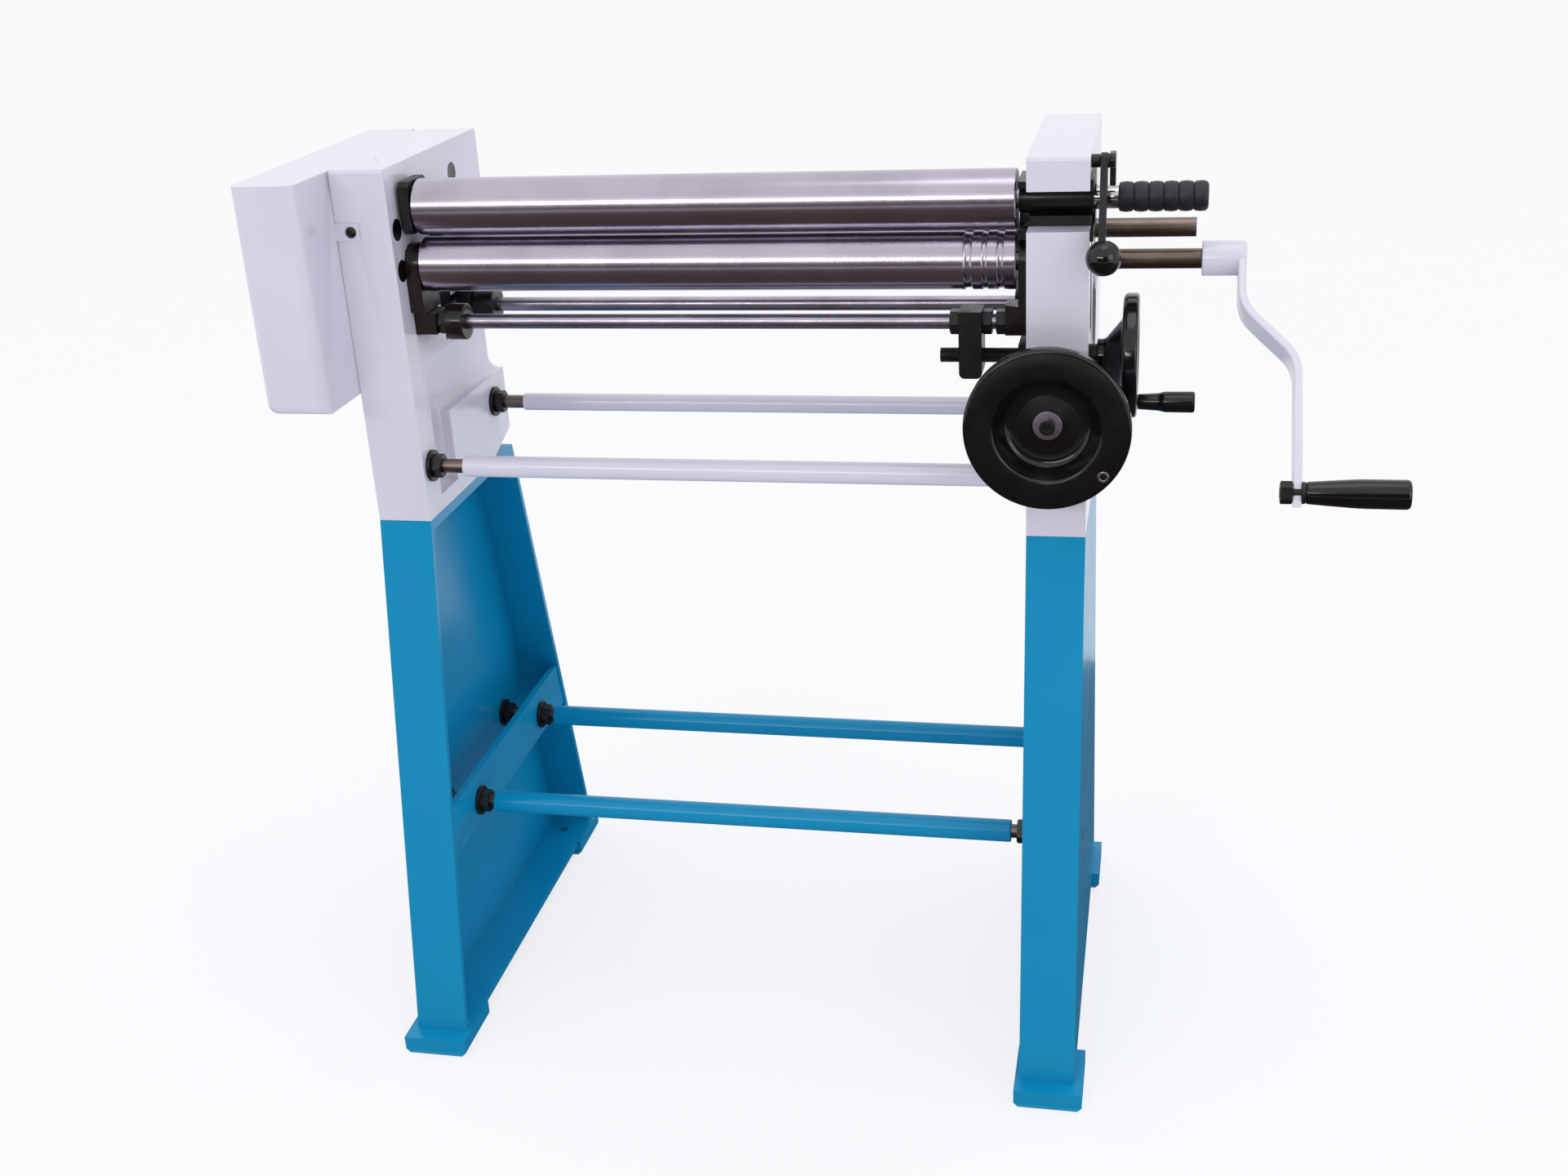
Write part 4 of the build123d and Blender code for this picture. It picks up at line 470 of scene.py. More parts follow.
def smoothed(name, mesh, crease, repair):
    """An object whose mesh has its doubled points merged, its faces repaired and its creases sharp."""
    work = bmesh.new()
    work.from_mesh(mesh)
    bmesh.ops.remove_doubles(work, verts=work.verts, dist=MERGE_DISTANCE)
    repair(work)
    work.to_mesh(mesh)
    work.free()
    mesh.shade_smooth()
    mesh.set_sharp_from_angle(angle=math.radians(crease))
    return linked(name, mesh)


def mount_piece(piece, material, body, stands_for=()):
    """Gives a piece its finish, its body and the solids that it stands for."""
    piece.data.materials.clear()
    piece.data.materials.append(material)
    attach(piece, body)
    if stands_for:
        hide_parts(*stands_for)
    return piece


def piece(name, surface, material, body, stands_for=(), slot=None, crease=32):
    """Makes a mesh object from a surface given in millimetres, merged, closed and facing outwards."""
    points, faces = surface
    mesh = bpy.data.meshes.new(name)
    mesh.from_pydata((np.asarray(points) * MM).tolist(), [], faces)
    made = smoothed(name, mesh, crease, lambda work: bmesh.ops.recalc_face_normals(work, faces=work.faces))
    return mount_piece(made, material, body, stands_for)


def dressed(node_name, material, body, edge):
    """A merged copy of a solid with its flat faces made whole and its edges rounded by a bevel."""
    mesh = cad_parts[node_name].data.copy()
    mesh.name = node_name + "_skin"
    made = smoothed(mesh.name, mesh, SKIN_CREASE, lambda work: bmesh.ops.dissolve_limit(
        work, angle_limit=math.radians(0.4), use_dissolve_boundaries=False, verts=work.verts, edges=work.edges
    ))
    if edge > 0:
        bevel = made.modifiers.new("edge", "BEVEL")
        bevel.width = edge
        bevel.segments = 2
        bevel.limit_method = "ANGLE"
        bevel.angle_limit = math.radians(35)
        bevel.harden_normals = True
        bevel.use_clamp_overlap = True
        bevel.miter_outer = "MITER_ARC"
    return mount_piece(made, material, body, [node_name])


def paint_node(node_name, material):
    """Gives a solid that stays visible its finish."""
    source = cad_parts[node_name]
    source.data.materials.clear()
    source.data.materials.append(material)


# Places, in millimetres, as in the solids

INNER, OUTER = 336.0, 398.0
ROLL_Y, UPPER_Z, LOWER_Z = -104.0, 997.0, 934.5
REAR_Y, REAR_Z = -28.0, 950.0
SHAFT_RADIUS, SHAFT_REACH = 11, 394
STAND_ROD_YS, STAND_ROD_Z = (-116, 116), 267
HOUSING_ROD_PLACES = ((-128, 709), (80, 720))
WEDGE_ROD = (0, ROLL_Y, 870)
LIFT_SHAFT = (0, 17, 858.5)
SIDE_SCREW = (0, ROLL_Y, 834)
LEVER_PIVOT_Y, LEVER_PIVOT_Z = -128, 1037
ROD_THREAD = 8.0
NUT_ACROSS = 24
CRANK_RADIUS, CRANK_LEAN = 256, 45
LEVER_LEAN = 26
SIDES = (-1, 1)
PLATE_BEVEL, COVER_BEVEL, LEVER_BEVEL = 0.6, 1.2, 0.9
HORIZON, OVERHEAD = "#665855", "#F4F7FF"


class SLIPROLL_OT_stage(bpy.types.Operator):
    """Lay the floor and the dark cards, light the sky, hang the lamps and set the camera"""

    bl_idname = "sliproll.stage"
    bl_label = "Stage"

    def execute(self, context):
        scene = context.scene
        scene.view_settings.view_transform = "Standard"
        self.sheet("studio_floor", 30.0, (-30.0, 0.0), (30.0, 0.0), floor_paint())
        matt_card = finish("matt_card", floor_surface, colours().card)
        for name, front, back in (
            ("level_card", (-3.4, 0.004), (0.9, 0.004)), ("standing_card", (-4.3, 2.7), (-4.3, 0.004)),
        ):
            card = self.sheet(name, 2.8, front, back, matt_card)
            card.visible_camera = card.visible_diffuse = card.visible_shadow = False
        self.lamps(scene)
        self.sky(scene)
        self.camera(scene)
        return {"FINISHED"}

    def sheet(self, name, half, front, back, material):
        """A flat sheet between two edges along X, each given by its depth and height."""
        edges = np.array([front, back])
        x, y = np.meshgrid([-half, half], edges[:, 0])
        points = np.stack([x, y, np.repeat(edges[:, 1:], 2, 1)], -1).reshape(-1, 3)
        mesh = bpy.data.meshes.new(name)
        mesh.from_pydata(points.tolist(), [], quads(2, 2, False).tolist())
        mesh.materials.append(material)
        made = linked(name, mesh)
        return made

    def lamps(self, scene):
        """A wide strip in front that draws the long highlight on the rolls, a fill from the right and a soft
        box above. Each row is name, place, aim, width, height and watts."""
        for name, place, aim, width, height, power in (
            ("key_strip", (-0.95, -3.8, 2.1), (0, 0, 0.95), 2.6, 0.26, 32),
            ("side_fill", (2.7, -2.0, 1.7), (0, 0, 0.7), 1.4, 1.4, 11),
            ("top_box", (0.6, -0.3, 3.3), (0.3, 0, 0.8), 1.6, 1.0, 6),
        ):
            lamp = bpy.data.lights.new(name, "AREA")
            lamp.shape = "RECTANGLE"
            lamp.size, lamp.size_y, lamp.energy = width, height, power
            holder = bpy.data.objects.new(name, lamp)
            direction = Vector(aim) - Vector(place)
            holder.rotation_euler = direction.to_track_quat("-Z", "Y").to_euler()
            holder.location = place
            scene.collection.objects.link(holder)

    def sky(self, scene):
        """A pale room light, dim at the horizon behind the camera and white overhead: it rises with the
        direction's part along a tilted upright, u = 0.42 y + 0.906 z. The camera and the reflections
        see plain white instead."""
        world = bpy.data.worlds.new("pale_sky")
        scene.world = world
        world.use_nodes = True
        tree = world.node_tree
        tree.nodes.clear()
        way = node(tree, "ShaderNodeTexCoord").outputs["Generated"]
        height = node(tree, "ShaderNodeVectorMath", {0: way, 1: (0.0, 0.42, 0.906)}, operation="DOT_PRODUCT")
        rise = node(tree, "ShaderNodeMapRange", {
            "Value": height.outputs["Value"], "From Min": -0.2, "From Max": 0.35})
        tint = node(tree, "ShaderNodeMix", {
            0: rise.outputs["Result"], 6: shade(linear(HORIZON)), 7: shade(linear(OVERHEAD))},
            data_type="RGBA")
        room = node(tree, "ShaderNodeBackground", {"Color": tint.outputs[2], "Strength": 1.05})
        white = node(tree, "ShaderNodeBackground", {"Color": (1.0, 1.0, 1.0, 1.0), "Strength": 1.0})
        both = node(tree, "ShaderNodeMixShader", {
            0: shown_rays(tree), 1: room.outputs["Background"], 2: white.outputs["Background"]})
        node(tree, "ShaderNodeOutputWorld", {"Surface": both.outputs["Shader"]})

    def camera(self, scene):
        """The camera at the photograph's place: yaw, pitch and roll turn its right, up and forward axes."""
        yaw, pitch, roll = -0.2248, 0.4023, -0.0579
        forward = np.array([
            math.sin(yaw) * math.cos(pitch), math.cos(yaw) * math.cos(pitch), -math.sin(pitch)
        ])
        level = np.array([math.cos(yaw), -math.sin(yaw), 0])
        upright = np.cross(level, forward)
        right = level * math.cos(roll) + upright * math.sin(roll)
        up = -level * math.sin(roll) + upright * math.cos(roll)
        lens = bpy.data.cameras.new("photo_camera")
        lens.sensor_width, lens.lens = 36.0, 40.93
        lens.clip_start, lens.clip_end = 0.05, 60
        camera = bpy.data.objects.new("photo_camera", lens)
        turn = Matrix(np.stack([right, up, -forward], 1).tolist()).to_4x4()
        camera.matrix_world = Matrix.Translation((0.47409, -1.91698, 1.35189)) @ turn
        scene.collection.objects.link(camera)
        scene.camera = camera


class SLIPROLL_OT_castings(bpy.types.Operator):
    """Dress the stands and housings"""

    bl_idname = "sliproll.castings"
    bl_label = "Castings"

    def execute(self, context):
        edge = sizes().casting_edge
        for side in ("left", "right"):
            dressed(side + "_stand", blue_enamel(), "frame", edge)
            dressed(side + "_housing", pale_enamel(), "frame", edge * 0.6)
        dressed("access_plate", pale_enamel(), "frame", PLATE_BEVEL * MM)
        return {"FINISHED"}


class SLIPROLL_OT_gear_cover(bpy.types.Operator):
    """Dress the gear cover and turn its screws"""

    bl_idname = "sliproll.gear_cover"
    bl_label = "Gear cover"

    def execute(self, context):
        dressed("gear_cover", pale_enamel(), "frame", COVER_BEVEL * MM)
        heads = []
        low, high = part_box("cover_screws")
        x = (low.x + high.x) / 2 / MM
        z = (low.z + high.z) / 2 / MM
        for face, tip, direction in ((-153.1, low.y / MM, -1), (124.1, high.y / MM, 1)):
            rise = abs(tip - face)
            dome = [(-12, 0), (-12, 3), (0, 3), (0, 6), (0.45 * rise, 6), (rise, 3.3), (rise, 2.2),
                    (0.4 * rise, 2), (0.4 * rise, 0)]
            heads.append(lathed([(face + direction * h, r) for h, r in dome], 1.2, "y", (x, 0, z), 40))
        piece("cover_button_screws", join(*heads), black_oxide(), "frame", ["cover_screws"], "black_steel")
        return {"FINISHED"}


def tie_rod(name, y, z, radius, shoulder, end, paint, paint_slot, stands_for):
    """A painted rod with bare turned-down ends: the paint stops at the shoulder."""
    skin = [(-shoulder, ROD_THREAD), (-shoulder, radius), (shoulder, radius), (shoulder, ROD_THREAD)]
    shell = lathed(skin, 0.8, "x", (0, y, z))
    bare = [(-end, 0), (-end, ROD_THREAD), (end, ROD_THREAD), (end, 0)]
    core = lathed(bare, 0.6, "x", (0, y, z), 40)
    piece(name + "_paint", shell, paint, "frame", (), paint_slot)
    piece(name + "_bar", core, bare_steel(), "frame", stands_for, "ground_steel")


def nut_and_washer(y, z, seat, direction):
    """A flat washer on its seat with a chamfered nut against it."""
    washer, nut = 4, 11
    inner, outer = seat + direction * washer, seat + direction * (washer + nut)
    ring = [(seat, ROD_THREAD), (seat, 18), (inner, 18), (inner, ROD_THREAD)]
    disc = lathed(ring, 0.5, "x", (0, y, z), ring=True)
    return join(disc, hexagon_nut(NUT_ACROSS, ROD_THREAD, "x", *sorted((inner, outer)), (0, y, z)))


class SLIPROLL_OT_tie_rods(bpy.types.Operator):
    """Turn the four tie rods with their nuts and washers"""

    bl_idname = "sliproll.tie_rods"
    bl_label = "Tie rods"

    def execute(self, context):
        s = sizes()
        bar, web = INNER + 2, OUTER - 7
        rods = (("front", s.front_rod_radius, ["stand_rods"], ["housing_rods"]),
                ("back", s.back_rod_radius, (), ()))
        for (name, _, done, _), y in zip(rods, STAND_ROD_YS):
            tie_rod("stand_rod_" + name, y, STAND_ROD_Z, s.stand_rod_radius / MM, 316, OUTER,
                    blue_enamel(), "rod_paint", done)
        for (name, radius, _, done), (y, z) in zip(rods, HOUSING_ROD_PLACES):
            tie_rod("housing_rod_" + name, y, z, radius / MM, 295, INNER + 39,
                    pale_enamel(), "white_paint", done)
        stacks = [nut_and_washer(y, STAND_ROD_Z, side * seat, -side)
                  for side in SIDES for y in STAND_ROD_YS for seat in (bar, web)]
        piece("stand_nuts", join(*stacks), black_oxide(), "frame", ["stand_rod_nuts"], "black_steel")
        stacks = [nut_and_washer(y, z, side * INNER, -side)
                  for side in SIDES for y, z in HOUSING_ROD_PLACES]
        piece("housing_nuts", join(*stacks), black_oxide(), "frame", ["housing_rod_nuts"], "black_steel")
        paint_node("housing_bolts", black_oxide())
        return {"FINISHED"}


def roll_profile(left, right, radius, grooves=()):
    """Half section of a roll from its left axis point to its right one. Each wire groove, w wide to
    each side, is the arc r = R - 0.45 w sin t, h = middle + w cos t."""
    points = [(left, 0), (left, radius - 1.2), (left + 1.2, radius)]
    t = np.linspace(np.pi, 0, 9)
    for middle, half_width in grooves:
        points += list(zip(middle + half_width * np.cos(t), radius - 0.45 * half_width * np.sin(t)))
    points += [(right - 1.2, radius), (right, radius - 1.2), (right, 0)]
    return points


def shafted(body_profile, left_steps, right_steps):
    """Adds stepped journals, as (reach, radius) pairs from the roll outwards, to a roll's half section."""
    ends = []
    for (place, _), steps in ((body_profile[0], left_steps), (body_profile[-1], right_steps)):
        end = []
        for reach, radius in steps:
            end += [(place, radius), (reach, radius)]
            place = reach
        ends.append(end + [(place, 0)])
    return ends[0][::-1] + body_profile[1:-1] + ends[1]


class SLIPROLL_OT_rolls(bpy.types.Operator):
    """Turn and grind the three rolls"""

    bl_idname = "sliproll.rolls"
    bl_label = "Rolls"

    def execute(self, context):
        s = sizes()
        left, right, radius = s.roll_left / MM, s.roll_right / MM, s.roll_radius / MM
        plain = roll_profile(left, right, radius)
        upper = shafted(plain, [(-352, SHAFT_RADIUS)], [(388, 9.9)])
        piece("upper_feed_roll", turned(upper, "x", (0, ROLL_Y, UPPER_Z), 96), ground_steel(),
              "upper_roll", ["upper_roll"], "ground_steel")
        grooved = roll_profile(left, right, radius, [(275, 4.5), (292, 3), (308, 3.5)])
        near_end, far_end = (-396, SHAFT_RADIUS), (SHAFT_REACH, SHAFT_RADIUS)
        lower = shafted(grooved, [near_end, (-435, 9)], [far_end])
        piece("lower_feed_roll", turned(lower, "x", (0, ROLL_Y, LOWER_Z), 96), ground_steel(),
              "lower_roll", ["lower_roll"], "ground_steel")
        rear = shafted(plain, [near_end], [far_end])
        piece("rear_bending_roll", turned(rear, "x", (0, REAR_Y, REAR_Z), 96), ground_steel(),
              "rear_roll", ["rear_roll"], "ground_steel")
        self.shaft_end("lower_roll", 550, (0, ROLL_Y, LOWER_Z))
        self.shaft_end("rear_roll", 502, (0, REAR_Y, REAR_Z))
        return {"FINISHED"}

    def shaft_end(self, body, end, centre):
        """The unground end of a roll's shaft, outside the right housing."""
        start, step = SHAFT_REACH, SHAFT_REACH + 2
        bar = [(start, 0), (start, SHAFT_RADIUS), (step, SHAFT_RADIUS), (step, 10), (end, 10), (end, 0)]
        piece(body + "_shaft_end", lathed(bar, 0.6, "x", centre), bare_steel(), body, (), "ground_steel")


class SLIPROLL_OT_bearing_blocks(bpy.types.Operator):
    """Dress the black bearing blocks, the swivel nose, bushes and plugs"""

    bl_idname = "sliproll.bearing_blocks"
    bl_label = "Bearing blocks"

    def execute(self, context):
        edge = sizes().block_edge
        for name, body in (
            ("swivel_block", "roll_swing"), ("lower_block_right", "lower_blocks"),
            ("rear_block_left", "rear_blocks"), ("rear_block_right", "rear_blocks"),
            ("side_screw_bush", "frame"), ("shaft_brackets", "frame"), ("slot_plates", "frame"),
            ("clamp_block", "wedge_slide"), ("roll_stop", "frame"),
        ):
            dressed(name, black_oxide(), body, edge)
        dressed("lower_block_left", greasy_oxide(), "lower_blocks", edge)
        dressed("wedges", greasy_oxide(), "wedge_slide", edge)
        for name in ("lower_bushes", "rear_bushes", "swivel_bush", "stub_bush"):
            paint_node(name, bronze())
        plugs = []
        for y, z in ((-133, 978), (-133.5, 933.5), (36, 1008)):
            disc = [(-341.9, 0), (-341.9, 11.9), (-336.2, 11.9), (-336.0, 11.3), (-336.2, 9), (-336.2, 0)]
            plugs.append(turned(disc, "x", (0, y, z), 48))
        piece("press_in_plugs", join(*plugs), phenolic(), "frame", ["face_plugs"], "black_phenolic")
        for name in ("swivel_pins", "stub_shaft"):
            paint_node(name, drawn_steel())
        for name in ("feed_gear_upper", "feed_gear_lower", "lift_arms", "travel_nut"):
            paint_node(name, black_oxide())
        return {"FINISHED"}


class SLIPROLL_OT_lift_grip(bpy.types.Operator):
    """Turn the sleeve, the bright stem and the ribbed grip"""

    bl_idname = "sliproll.lift_grip"
    bl_label = "Lift grip"

    def execute(self, context):
        centre = (0, ROLL_Y, UPPER_Z)
        sleeve = [(326, 10.1), (326, 14), (400, 14), (400, 6.1), (394.2, 6.1), (394.2, 10.1)]
        piece("blackened_sleeve", lathed(sleeve, 0.8, "x", centre, 64, True), black_oxide(),
              "roll_swing", ["journal_sleeve"], "black_steel")
        stem = [(394.1, 0), (394.1, 5.9), (400.1, 5.9), (400.1, 12), (412, 12), (412, 11.2), (413.2, 11.2),
                (413.2, 11.5), (424.4, 11.5), (424.4, 5.9), (500, 5.9), (500, 0)]
        piece("bright_stem", lathed(stem, 0.5, "x", centre, 64), plating(),
              "roll_swing", ["grip_stem"], "bright_chrome")
        self.grip(centre)
        return {"FINISHED"}

    def grip(self, centre):
        """Lands between grooves: r = R - g exp(-((h - groove) / w)^2) summed over the grooves,
        with both ends falling away as a quarter circle."""
        s = sizes()
        radius, ribs, start, end = s.grip_radius / MM, s.grip_ribs, 424.5, 511.5
        h = np.linspace(start, end, 420)
        grooves = start + (end - start) * np.arange(1, ribs) / ribs
        dent = np.exp(-(((h[:, None] - grooves[None]) / 0.9) ** 2)).sum(1)
        crown = 0.35 * np.cos(2 * np.pi * ribs * (h - start) / (end - start))
        r = radius - 0.35 - 1.3 * dent - crown
        near, far = np.clip((h - start) / 2.0, 0, 1), np.clip((end - h) / 4.0, 0, 1)
        r -= 2.0 * (1 - np.sqrt(1 - (1 - near) ** 2)) + 4.0 * (1 - np.sqrt(1 - (1 - far) ** 2))
        profile = [(start, 6.1)] + list(zip(h, r)) + [(end, 0)]
        piece("ribbed_grip", turned(profile, "x", centre, 72), rubber(), "roll_swing", ["lift_grip"],
              "grip_rubber", 40)


class SLIPROLL_OT_release_lever(bpy.types.Operator):
    """Shape the release lever, its ball and its pivot"""

    bl_idname = "sliproll.release_lever"
    bl_label = "Release lever"

    def execute(self, context):
        dressed("release_lever", black_oxide(), "release_lever", LEVER_BEVEL * MM)
        self.ball()
        self.pivot()
        return {"FINISHED"}

    def ball(self):
        """A sphere cut flat where the bar enters: r = sqrt(R^2 - h^2), leaning with the lever."""
        radius, lean = sizes().ball_radius / MM, math.radians(LEVER_LEAN)
        t = np.linspace(0, np.pi - 0.42, 40)
        profile = [(radius * -np.cos(v), radius * np.sin(v)) for v in t]
        profile += [(profile[-1][0], 0)]
        points, faces = turned(profile, "z", (0, 0, 0), 64)
        reach = 96.5
        centre = (412.5, LEVER_PIVOT_Y - reach * math.sin(lean), LEVER_PIVOT_Z - reach * math.cos(lean))
        piece("ball_knob_black", (leaned(points, LEVER_LEAN) + centre, faces), phenolic(), "release_lever",
              ["ball_knob"], "black_phenolic")

    def pivot(self):
        """The shouldered pin with a slotless round head and a shallow socket."""
        pin = [(378, 0), (378, 4), (398.1, 4), (398.1, 6.5), (406.6, 6.5), (406.6, 4), (416.4, 4), (416.4, 7),
               (421.2, 7), (421.2, 3), (418.3, 3), (418.3, 0)]
        piece("pivot_screw", lathed(pin, 0.5, "x", (0, LEVER_PIVOT_Y, LEVER_PIVOT_Z)), black_oxide(),
              "frame", ["lever_pivot"], "black_steel")


class SLIPROLL_OT_cross_rods(bpy.types.Operator):
    """Turn the cross rods, their nuts and collars, and the side screw"""

    bl_idname = "sliproll.cross_rods"
    bl_label = "Cross rods"

    def execute(self, context):
        for name, left, right, centre, body, solid in (
            ("front_cross_rod", -380, 380, WEDGE_ROD, "wedge_slide", "wedge_rod"),
            ("back_cross_shaft", -362, 386, LIFT_SHAFT, "lift_rocker", "lift_shaft"),
        ):
            bar = [(left, 0), (left, 8), (right, 8), (right, 0)]
            piece(name, lathed(bar, 1, "x", centre), drawn_steel(), body, [solid], "ground_steel")
        nuts = [hexagon_nut(NUT_ACROSS, 8, "x", low, low + 10, WEDGE_ROD) for low in (254, 288, -312, 302)]
        piece("lock_nuts", join(*nuts), black_oxide(), "wedge_slide", ["rod_lock_nuts"], "black_steel")
        ring = [(-301.9, 8.05), (-301.9, 20), (-281, 20), (-281, 8.05)]
        piece("rod_set_collar", lathed(ring, 1.5, "x", WEDGE_ROD, 64, True), greasy_oxide(),
              "wedge_slide", ["rod_collar"], "black_steel")
        rings = []
        for low, high, radius in ((311.7, 317.7, 17), (-317.7, -311.7, 17), (-311, -291, 21)):
            ring = [(low, 8.05), (low, radius), (high, radius), (high, 8.05)]
            rings.append(lathed(ring, 1.2, "x", LIFT_SHAFT, 64, True))
        piece("set_collars", join(*rings), black_oxide(), "lift_rocker", ["shaft_collars"], "black_steel")
        self.side_screw()
        return {"FINISHED"}

    def side_screw(self):
        """The screw's thread from its free end to the plate, then its plain shank and collar."""
        cut = thread(7.95, 0.7, 2.0, 243.2, 325, "x", SIDE_SCREW)
        shank = [(325, 0), (325, 7.9), (398.3, 7.9), (398.3, 12), (405.2, 12), (405.2, 7.9), (428, 7.9),
                 (428, 0)]
        rest = lathed(shank, 0.4, "x", SIDE_SCREW)
        piece("side_adjusting_screw", join(cut, rest), black_oxide(), "side_wheel", ["side_screw"],
              "black_steel")


def handwheel(radius, depth):
    """Half section of a dished handwheel as one closed ring, from its hub end: hub, cone, squared rim,
    flat rim band, slope, flat floor and centre boss, as (place, radius) points with a rounding for each."""
    r, d, bore = radius, depth, 8.0
    section = [
        ((0, bore), 0.4), ((0, r * 0.27), 2), ((d * 0.2, r * 0.27), 3), ((d * 0.58, r * 0.58), 4),
        ((d * 0.62, r * 0.64), 2), ((d * 0.62, r - 3.5), 2.5), ((d * 0.69, r), 2.5), ((d * 0.95, r), 2),
        ((d, r - 2.4), 2), ((d, r * 0.65), 2.5), ((d * 0.51, r * 0.5), 8), ((d * 0.5, r * 0.36), 0.6),
        ((d * 0.515, r * 0.355), 0.4), ((d * 0.515, r * 0.2), 0.4), ((d * 0.56, r * 0.195), 0.4),
        ((d * 0.56, bore), 0.4),
    ]
    return soften([point for point, _ in section], [rounding for _, rounding in section], 7)


def hub_screw(face, direction, axis, centre):
    """A dull steel washer, a socket head and its round recess."""
    washer = [(0, 0), (0, 15), (2, 15), (2, 0)]
    head = [(2, 0), (2, 8), (9, 8), (9, 3.4), (5.5, 3.4), (5.5, 0)]
    return [lathed([(face + direction * h, r) for h, r in steps], rounding, axis, centre)
            for steps, rounding in ((washer, 0.5), (head, 0.7))]


class SLIPROLL_OT_side_wheel(bpy.types.Operator):
    """Mould the side handwheel and its handle"""

    bl_idname = "sliproll.side_wheel"
    bl_label = "Side wheel"

    def execute(self, context):
        s = sizes()
        start, depth = 405.3, s.wheel_depth / MM
        ring = handwheel(s.side_wheel_radius / MM, depth)
        ring[:, 0] += start
        piece("side_handwheel", turned(ring, "x", SIDE_SCREW, 96, True), phenolic(), "side_wheel",
              ["side_wheel"], "black_phenolic", 50)
        washer, cap = hub_screw(start + depth * 0.56, 1, "x", SIDE_SCREW)
        piece("side_hub_screw", join(washer, cap), black_oxide(), "side_wheel", ["side_wheel_screw"],
              "black_steel")
        paint_node("side_handle_pin", drawn_steel())
        self.handle(start + depth + 0.3)
        return {"FINISHED"}

    def handle(self, start):
        """A slim neck that swells to a fuller barrel with a rounded end."""
        section = [(0, 4.1), (0, 7.6), (1.5, 8), (22, 9.2), (27, 10.8), (56, 11), (58, 10), (58, 0)]
        points = [(start + h, r) for h, r in section]
        profile = soften(points, [0.3, 0.6, 4, 6, 6, 1.6, 1.2, 1], 6, closed=False)
        piece("side_grip_handle", turned(profile, "x", (0, ROLL_Y, 784.5), 64), phenolic(), "side_handle",
              ["side_handle"], "black_phenolic", 50)


class SLIPROLL_OT_front_wheel(bpy.types.Operator):
    """Mould the front handwheel and set its screw and insert"""

    bl_idname = "sliproll.front_wheel"
    bl_label = "Front wheel"

    def execute(self, context):
        s = sizes()
        radius, depth = s.front_wheel_radius / MM, s.wheel_depth / MM
        end, centre = -159.3, (360, 0, 783)
        ring = handwheel(radius, depth)
        ring[:, 0] = end - ring[:, 0]
        piece("front_handwheel", turned(ring, "y", centre, 112, True), phenolic(), "front_wheel",
              ["front_wheel"], "black_phenolic", 50)
        washer, cap = hub_screw(end - depth * 0.56, -1, "y", centre)
        piece("front_hub_washer", washer, drawn_steel(), "front_wheel", (), "ground_steel")
        piece("front_hub_screw", cap, black_oxide(), "front_wheel", ["front_wheel_screw"], "black_steel")
        self.insert(end - depth)
        paint_node("front_screw", drawn_steel())
        return {"FINISHED"}

    def insert(self, face):
        """The bright threaded insert in the rim, with its open bore."""
        low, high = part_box("handle_insert")
        x, z = (low.x + high.x) / 2 / MM, (low.z + high.z) / 2 / MM
        steps = [(-0.6, 3.2), (-0.6, 6), (9.8, 6), (9.8, 0), (5, 0), (5, 3.2)]
        ring = [(face + h, r) for h, r in steps]
        piece("bright_insert", lathed(ring, 0.5, "y", (x, 0, z), ring=True), plating(), "front_wheel",
              ["handle_insert"], "bright_chrome")


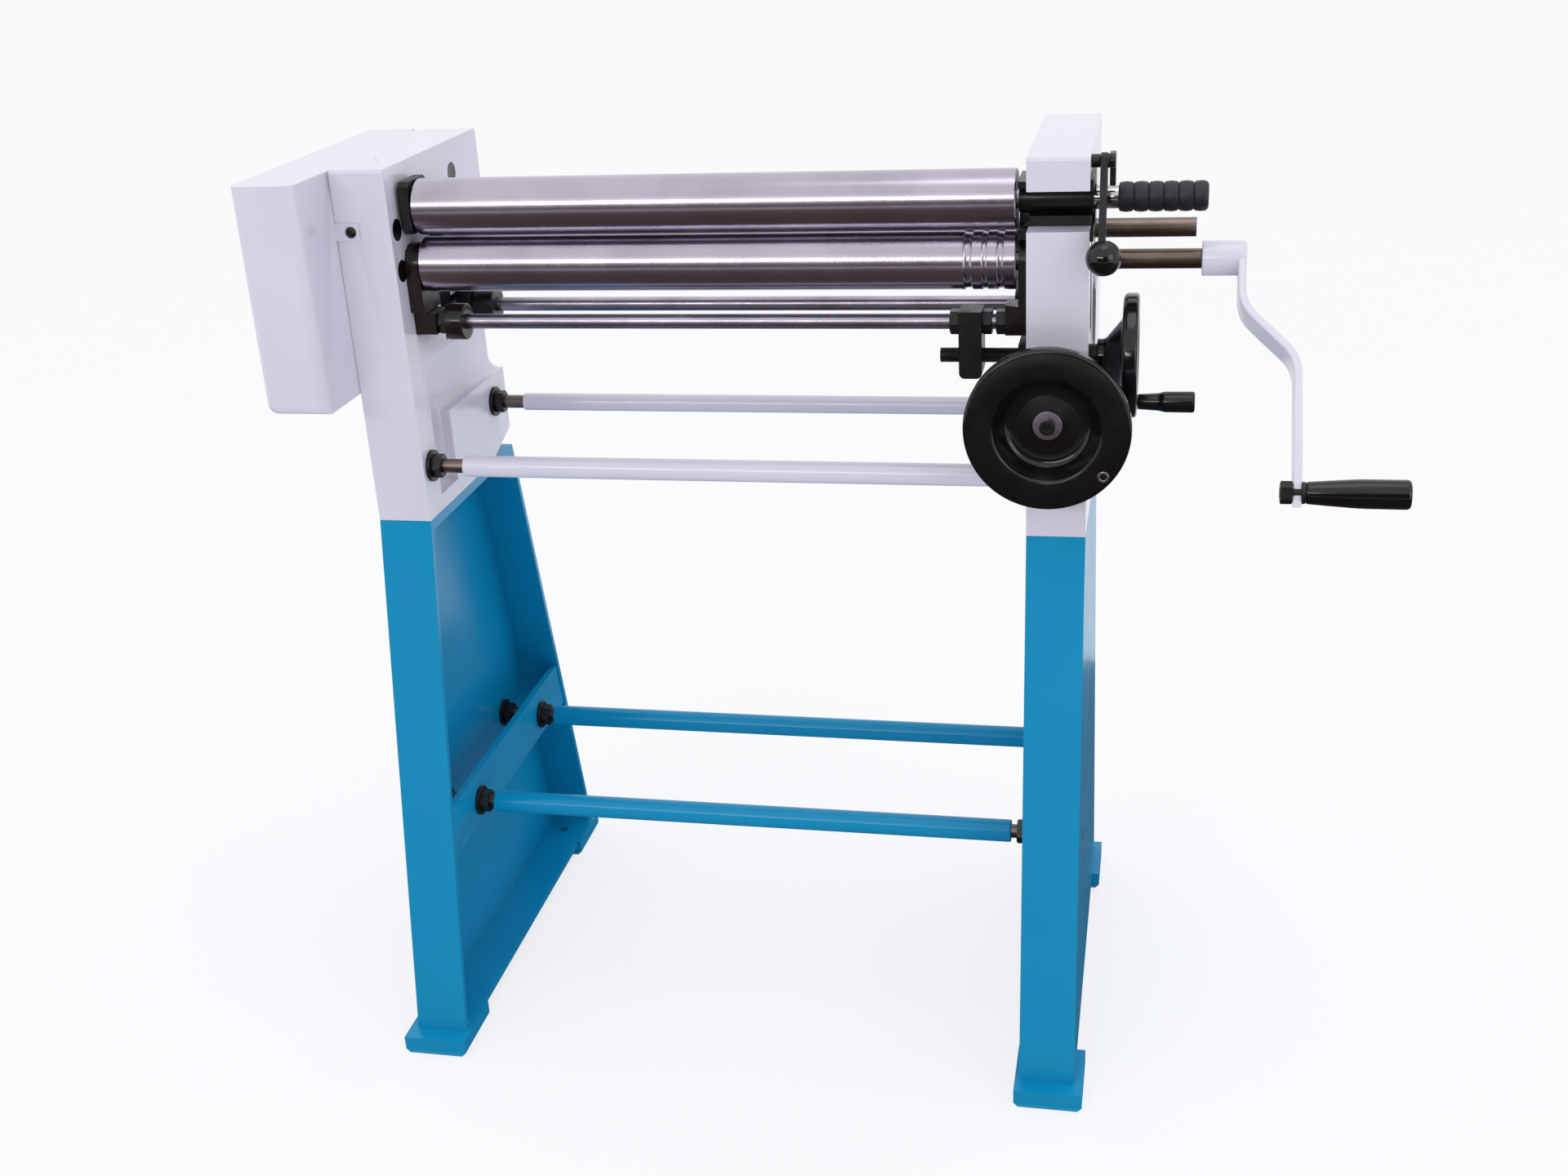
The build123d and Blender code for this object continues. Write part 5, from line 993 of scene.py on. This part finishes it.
class SLIPROLL_OT_crank(bpy.types.Operator):
    """Forge the crank, turn its handle and set its nut"""

    bl_idname = "sliproll.crank"
    bl_label = "Crank"

    def execute(self, context):
        self.arm()
        self.handle()
        return {"FINISHED"}

    def turned_down(self, surface):
        """Leans a shape drawn hanging straight down to the crank's rest angle about the roll's axis."""
        points, faces = surface
        centre = np.array([0, ROLL_Y, LOWER_Z])
        return leaned(points - centre, CRANK_LEAN) + centre, faces

    def arm(self):
        """A flat bar with rounded edges carried along the double bend, a turned hub and a round eye. Over its
        last 15 mm the bar's width is sqrt(1 - (1 - t)^2) of the whole, with t falling to 0 at the end."""
        x0, x1, drop = 546.0, 599.0, CRANK_RADIUS
        corners = [(x0, 10.0), (x0, 60.0), (x1, 118.0), (x1, drop + 15)]
        line = soften(corners, [0, 18, 18, 0], 9, closed=False)
        t = np.linspace(0, 1, len(line) * 3)
        place = np.interp(t, np.linspace(0, 1, len(line)), np.arange(len(line)))
        low = np.floor(place).astype(int).clip(0, len(line) - 2)
        part = (place - low)[:, None]
        smooth = line[low] * (1 - part) + line[low + 1] * part
        path = np.stack([smooth[:, 0], np.full(len(smooth), ROLL_Y), LOWER_Z - smooth[:, 1]], 1)
        wide, thick = 15.0, 4.0
        section = soften([(-wide, -thick), (wide, -thick), (wide, thick), (-wide, thick)], 2.0)
        taper = np.clip((drop + 15 - smooth[:, 1]) / 15.0, 0, 1)
        width = np.sqrt(np.clip(1 - (1 - taper) ** 2, 0.0004, 1))
        points, faces = swept(path, section, (0, 1, 0))
        rows = points.reshape(len(path), -1, 3)
        rows[..., 1] = ROLL_Y + (rows[..., 1] - ROLL_Y) * width[:, None]
        hub = [(507, 10.1), (507, 17.5), (548, 17.5), (550.5, 16), (550.5, 10.1)]
        ring = lathed(hub, 2.2, "x", (0, ROLL_Y, LOWER_Z), 64, True)
        surface = self.turned_down(join((rows.reshape(-1, 3), faces), ring))
        piece("painted_crank_arm", surface, pale_enamel(), "lower_roll", ["crank_arm"], "white_paint", 40)

    def handle(self):
        """The plain shouldered axle with its nut, and the tapered revolving handle."""
        centre = (0, ROLL_Y, LOWER_Z - CRANK_RADIUS)
        axle = [(583, 0), (583, 6), (595.1, 6), (603, 6), (603, 10.5), (606.7, 10.5), (606.7, 6), (690, 6),
                (690, 0)]
        pin = lathed(axle, 0.6, "x", centre)
        nut = hexagon_nut(19, 6, "x", 583.5, 595, centre)
        piece("crank_pin_and_nut", self.turned_down(join(pin, nut)), black_oxide(), "lower_roll",
              ["crank_axle"], "ground_steel")
        section = [(607, 6.1), (607, 9.8), (609, 10.6), (630, 12.2), (656, 13.9), (698.6, 14), (701, 12.4),
                   (701, 0)]
        profile = soften(section, [0.3, 0.8, 4, 8, 8, 1.8, 1.6, 1], 6, closed=False)
        piece("crank_grip_handle", self.turned_down(turned(profile, "x", centre, 72)), phenolic(),
              "crank_handle", ["crank_handle"], "black_phenolic", 50)


OPERATORS = (
    SLIPROLL_OT_stage, SLIPROLL_OT_castings, SLIPROLL_OT_gear_cover, SLIPROLL_OT_tie_rods,
    SLIPROLL_OT_rolls, SLIPROLL_OT_bearing_blocks, SLIPROLL_OT_lift_grip, SLIPROLL_OT_release_lever,
    SLIPROLL_OT_cross_rods, SLIPROLL_OT_side_wheel, SLIPROLL_OT_front_wheel, SLIPROLL_OT_crank,
)


class SLIPROLL_PT_panel(bpy.types.Panel):
    """Lists the machine's pieces and settings"""

    bl_label = "Slip Roll"
    bl_idname = "SLIPROLL_PT_panel"
    bl_space_type = "VIEW_3D"
    bl_region_type = "UI"
    bl_category = "Slip Roll"

    def draw(self, context):
        for settings in (context.scene.slip_roll_sizes, context.scene.slip_roll_colours):
            box = self.layout.box()
            for name in settings.bl_rna.properties.keys():
                if name not in ("rna_type", "name"):
                    box.prop(settings, name)
        for operator in OPERATORS:
            self.layout.operator(operator.bl_idname)


CLASSES = (SlipRollSizes, SlipRollColours, *OPERATORS, SLIPROLL_PT_panel)


def register():
    """Registers the classes and the scene's settings."""
    for item in CLASSES:
        bpy.utils.register_class(item)
    bpy.types.Scene.slip_roll_sizes = PointerProperty(type=SlipRollSizes)
    bpy.types.Scene.slip_roll_colours = PointerProperty(type=SlipRollColours)


def unregister():
    """Removes what register added."""
    del bpy.types.Scene.slip_roll_colours
    del bpy.types.Scene.slip_roll_sizes
    for item in reversed(CLASSES):
        bpy.utils.unregister_class(item)


def main():
    """Registers the classes and builds every piece."""
    register()
    for operator in OPERATORS:
        group, name = operator.bl_idname.split(".")
        getattr(getattr(bpy.ops, group), name)()


if __name__ == "__main__":
    main()
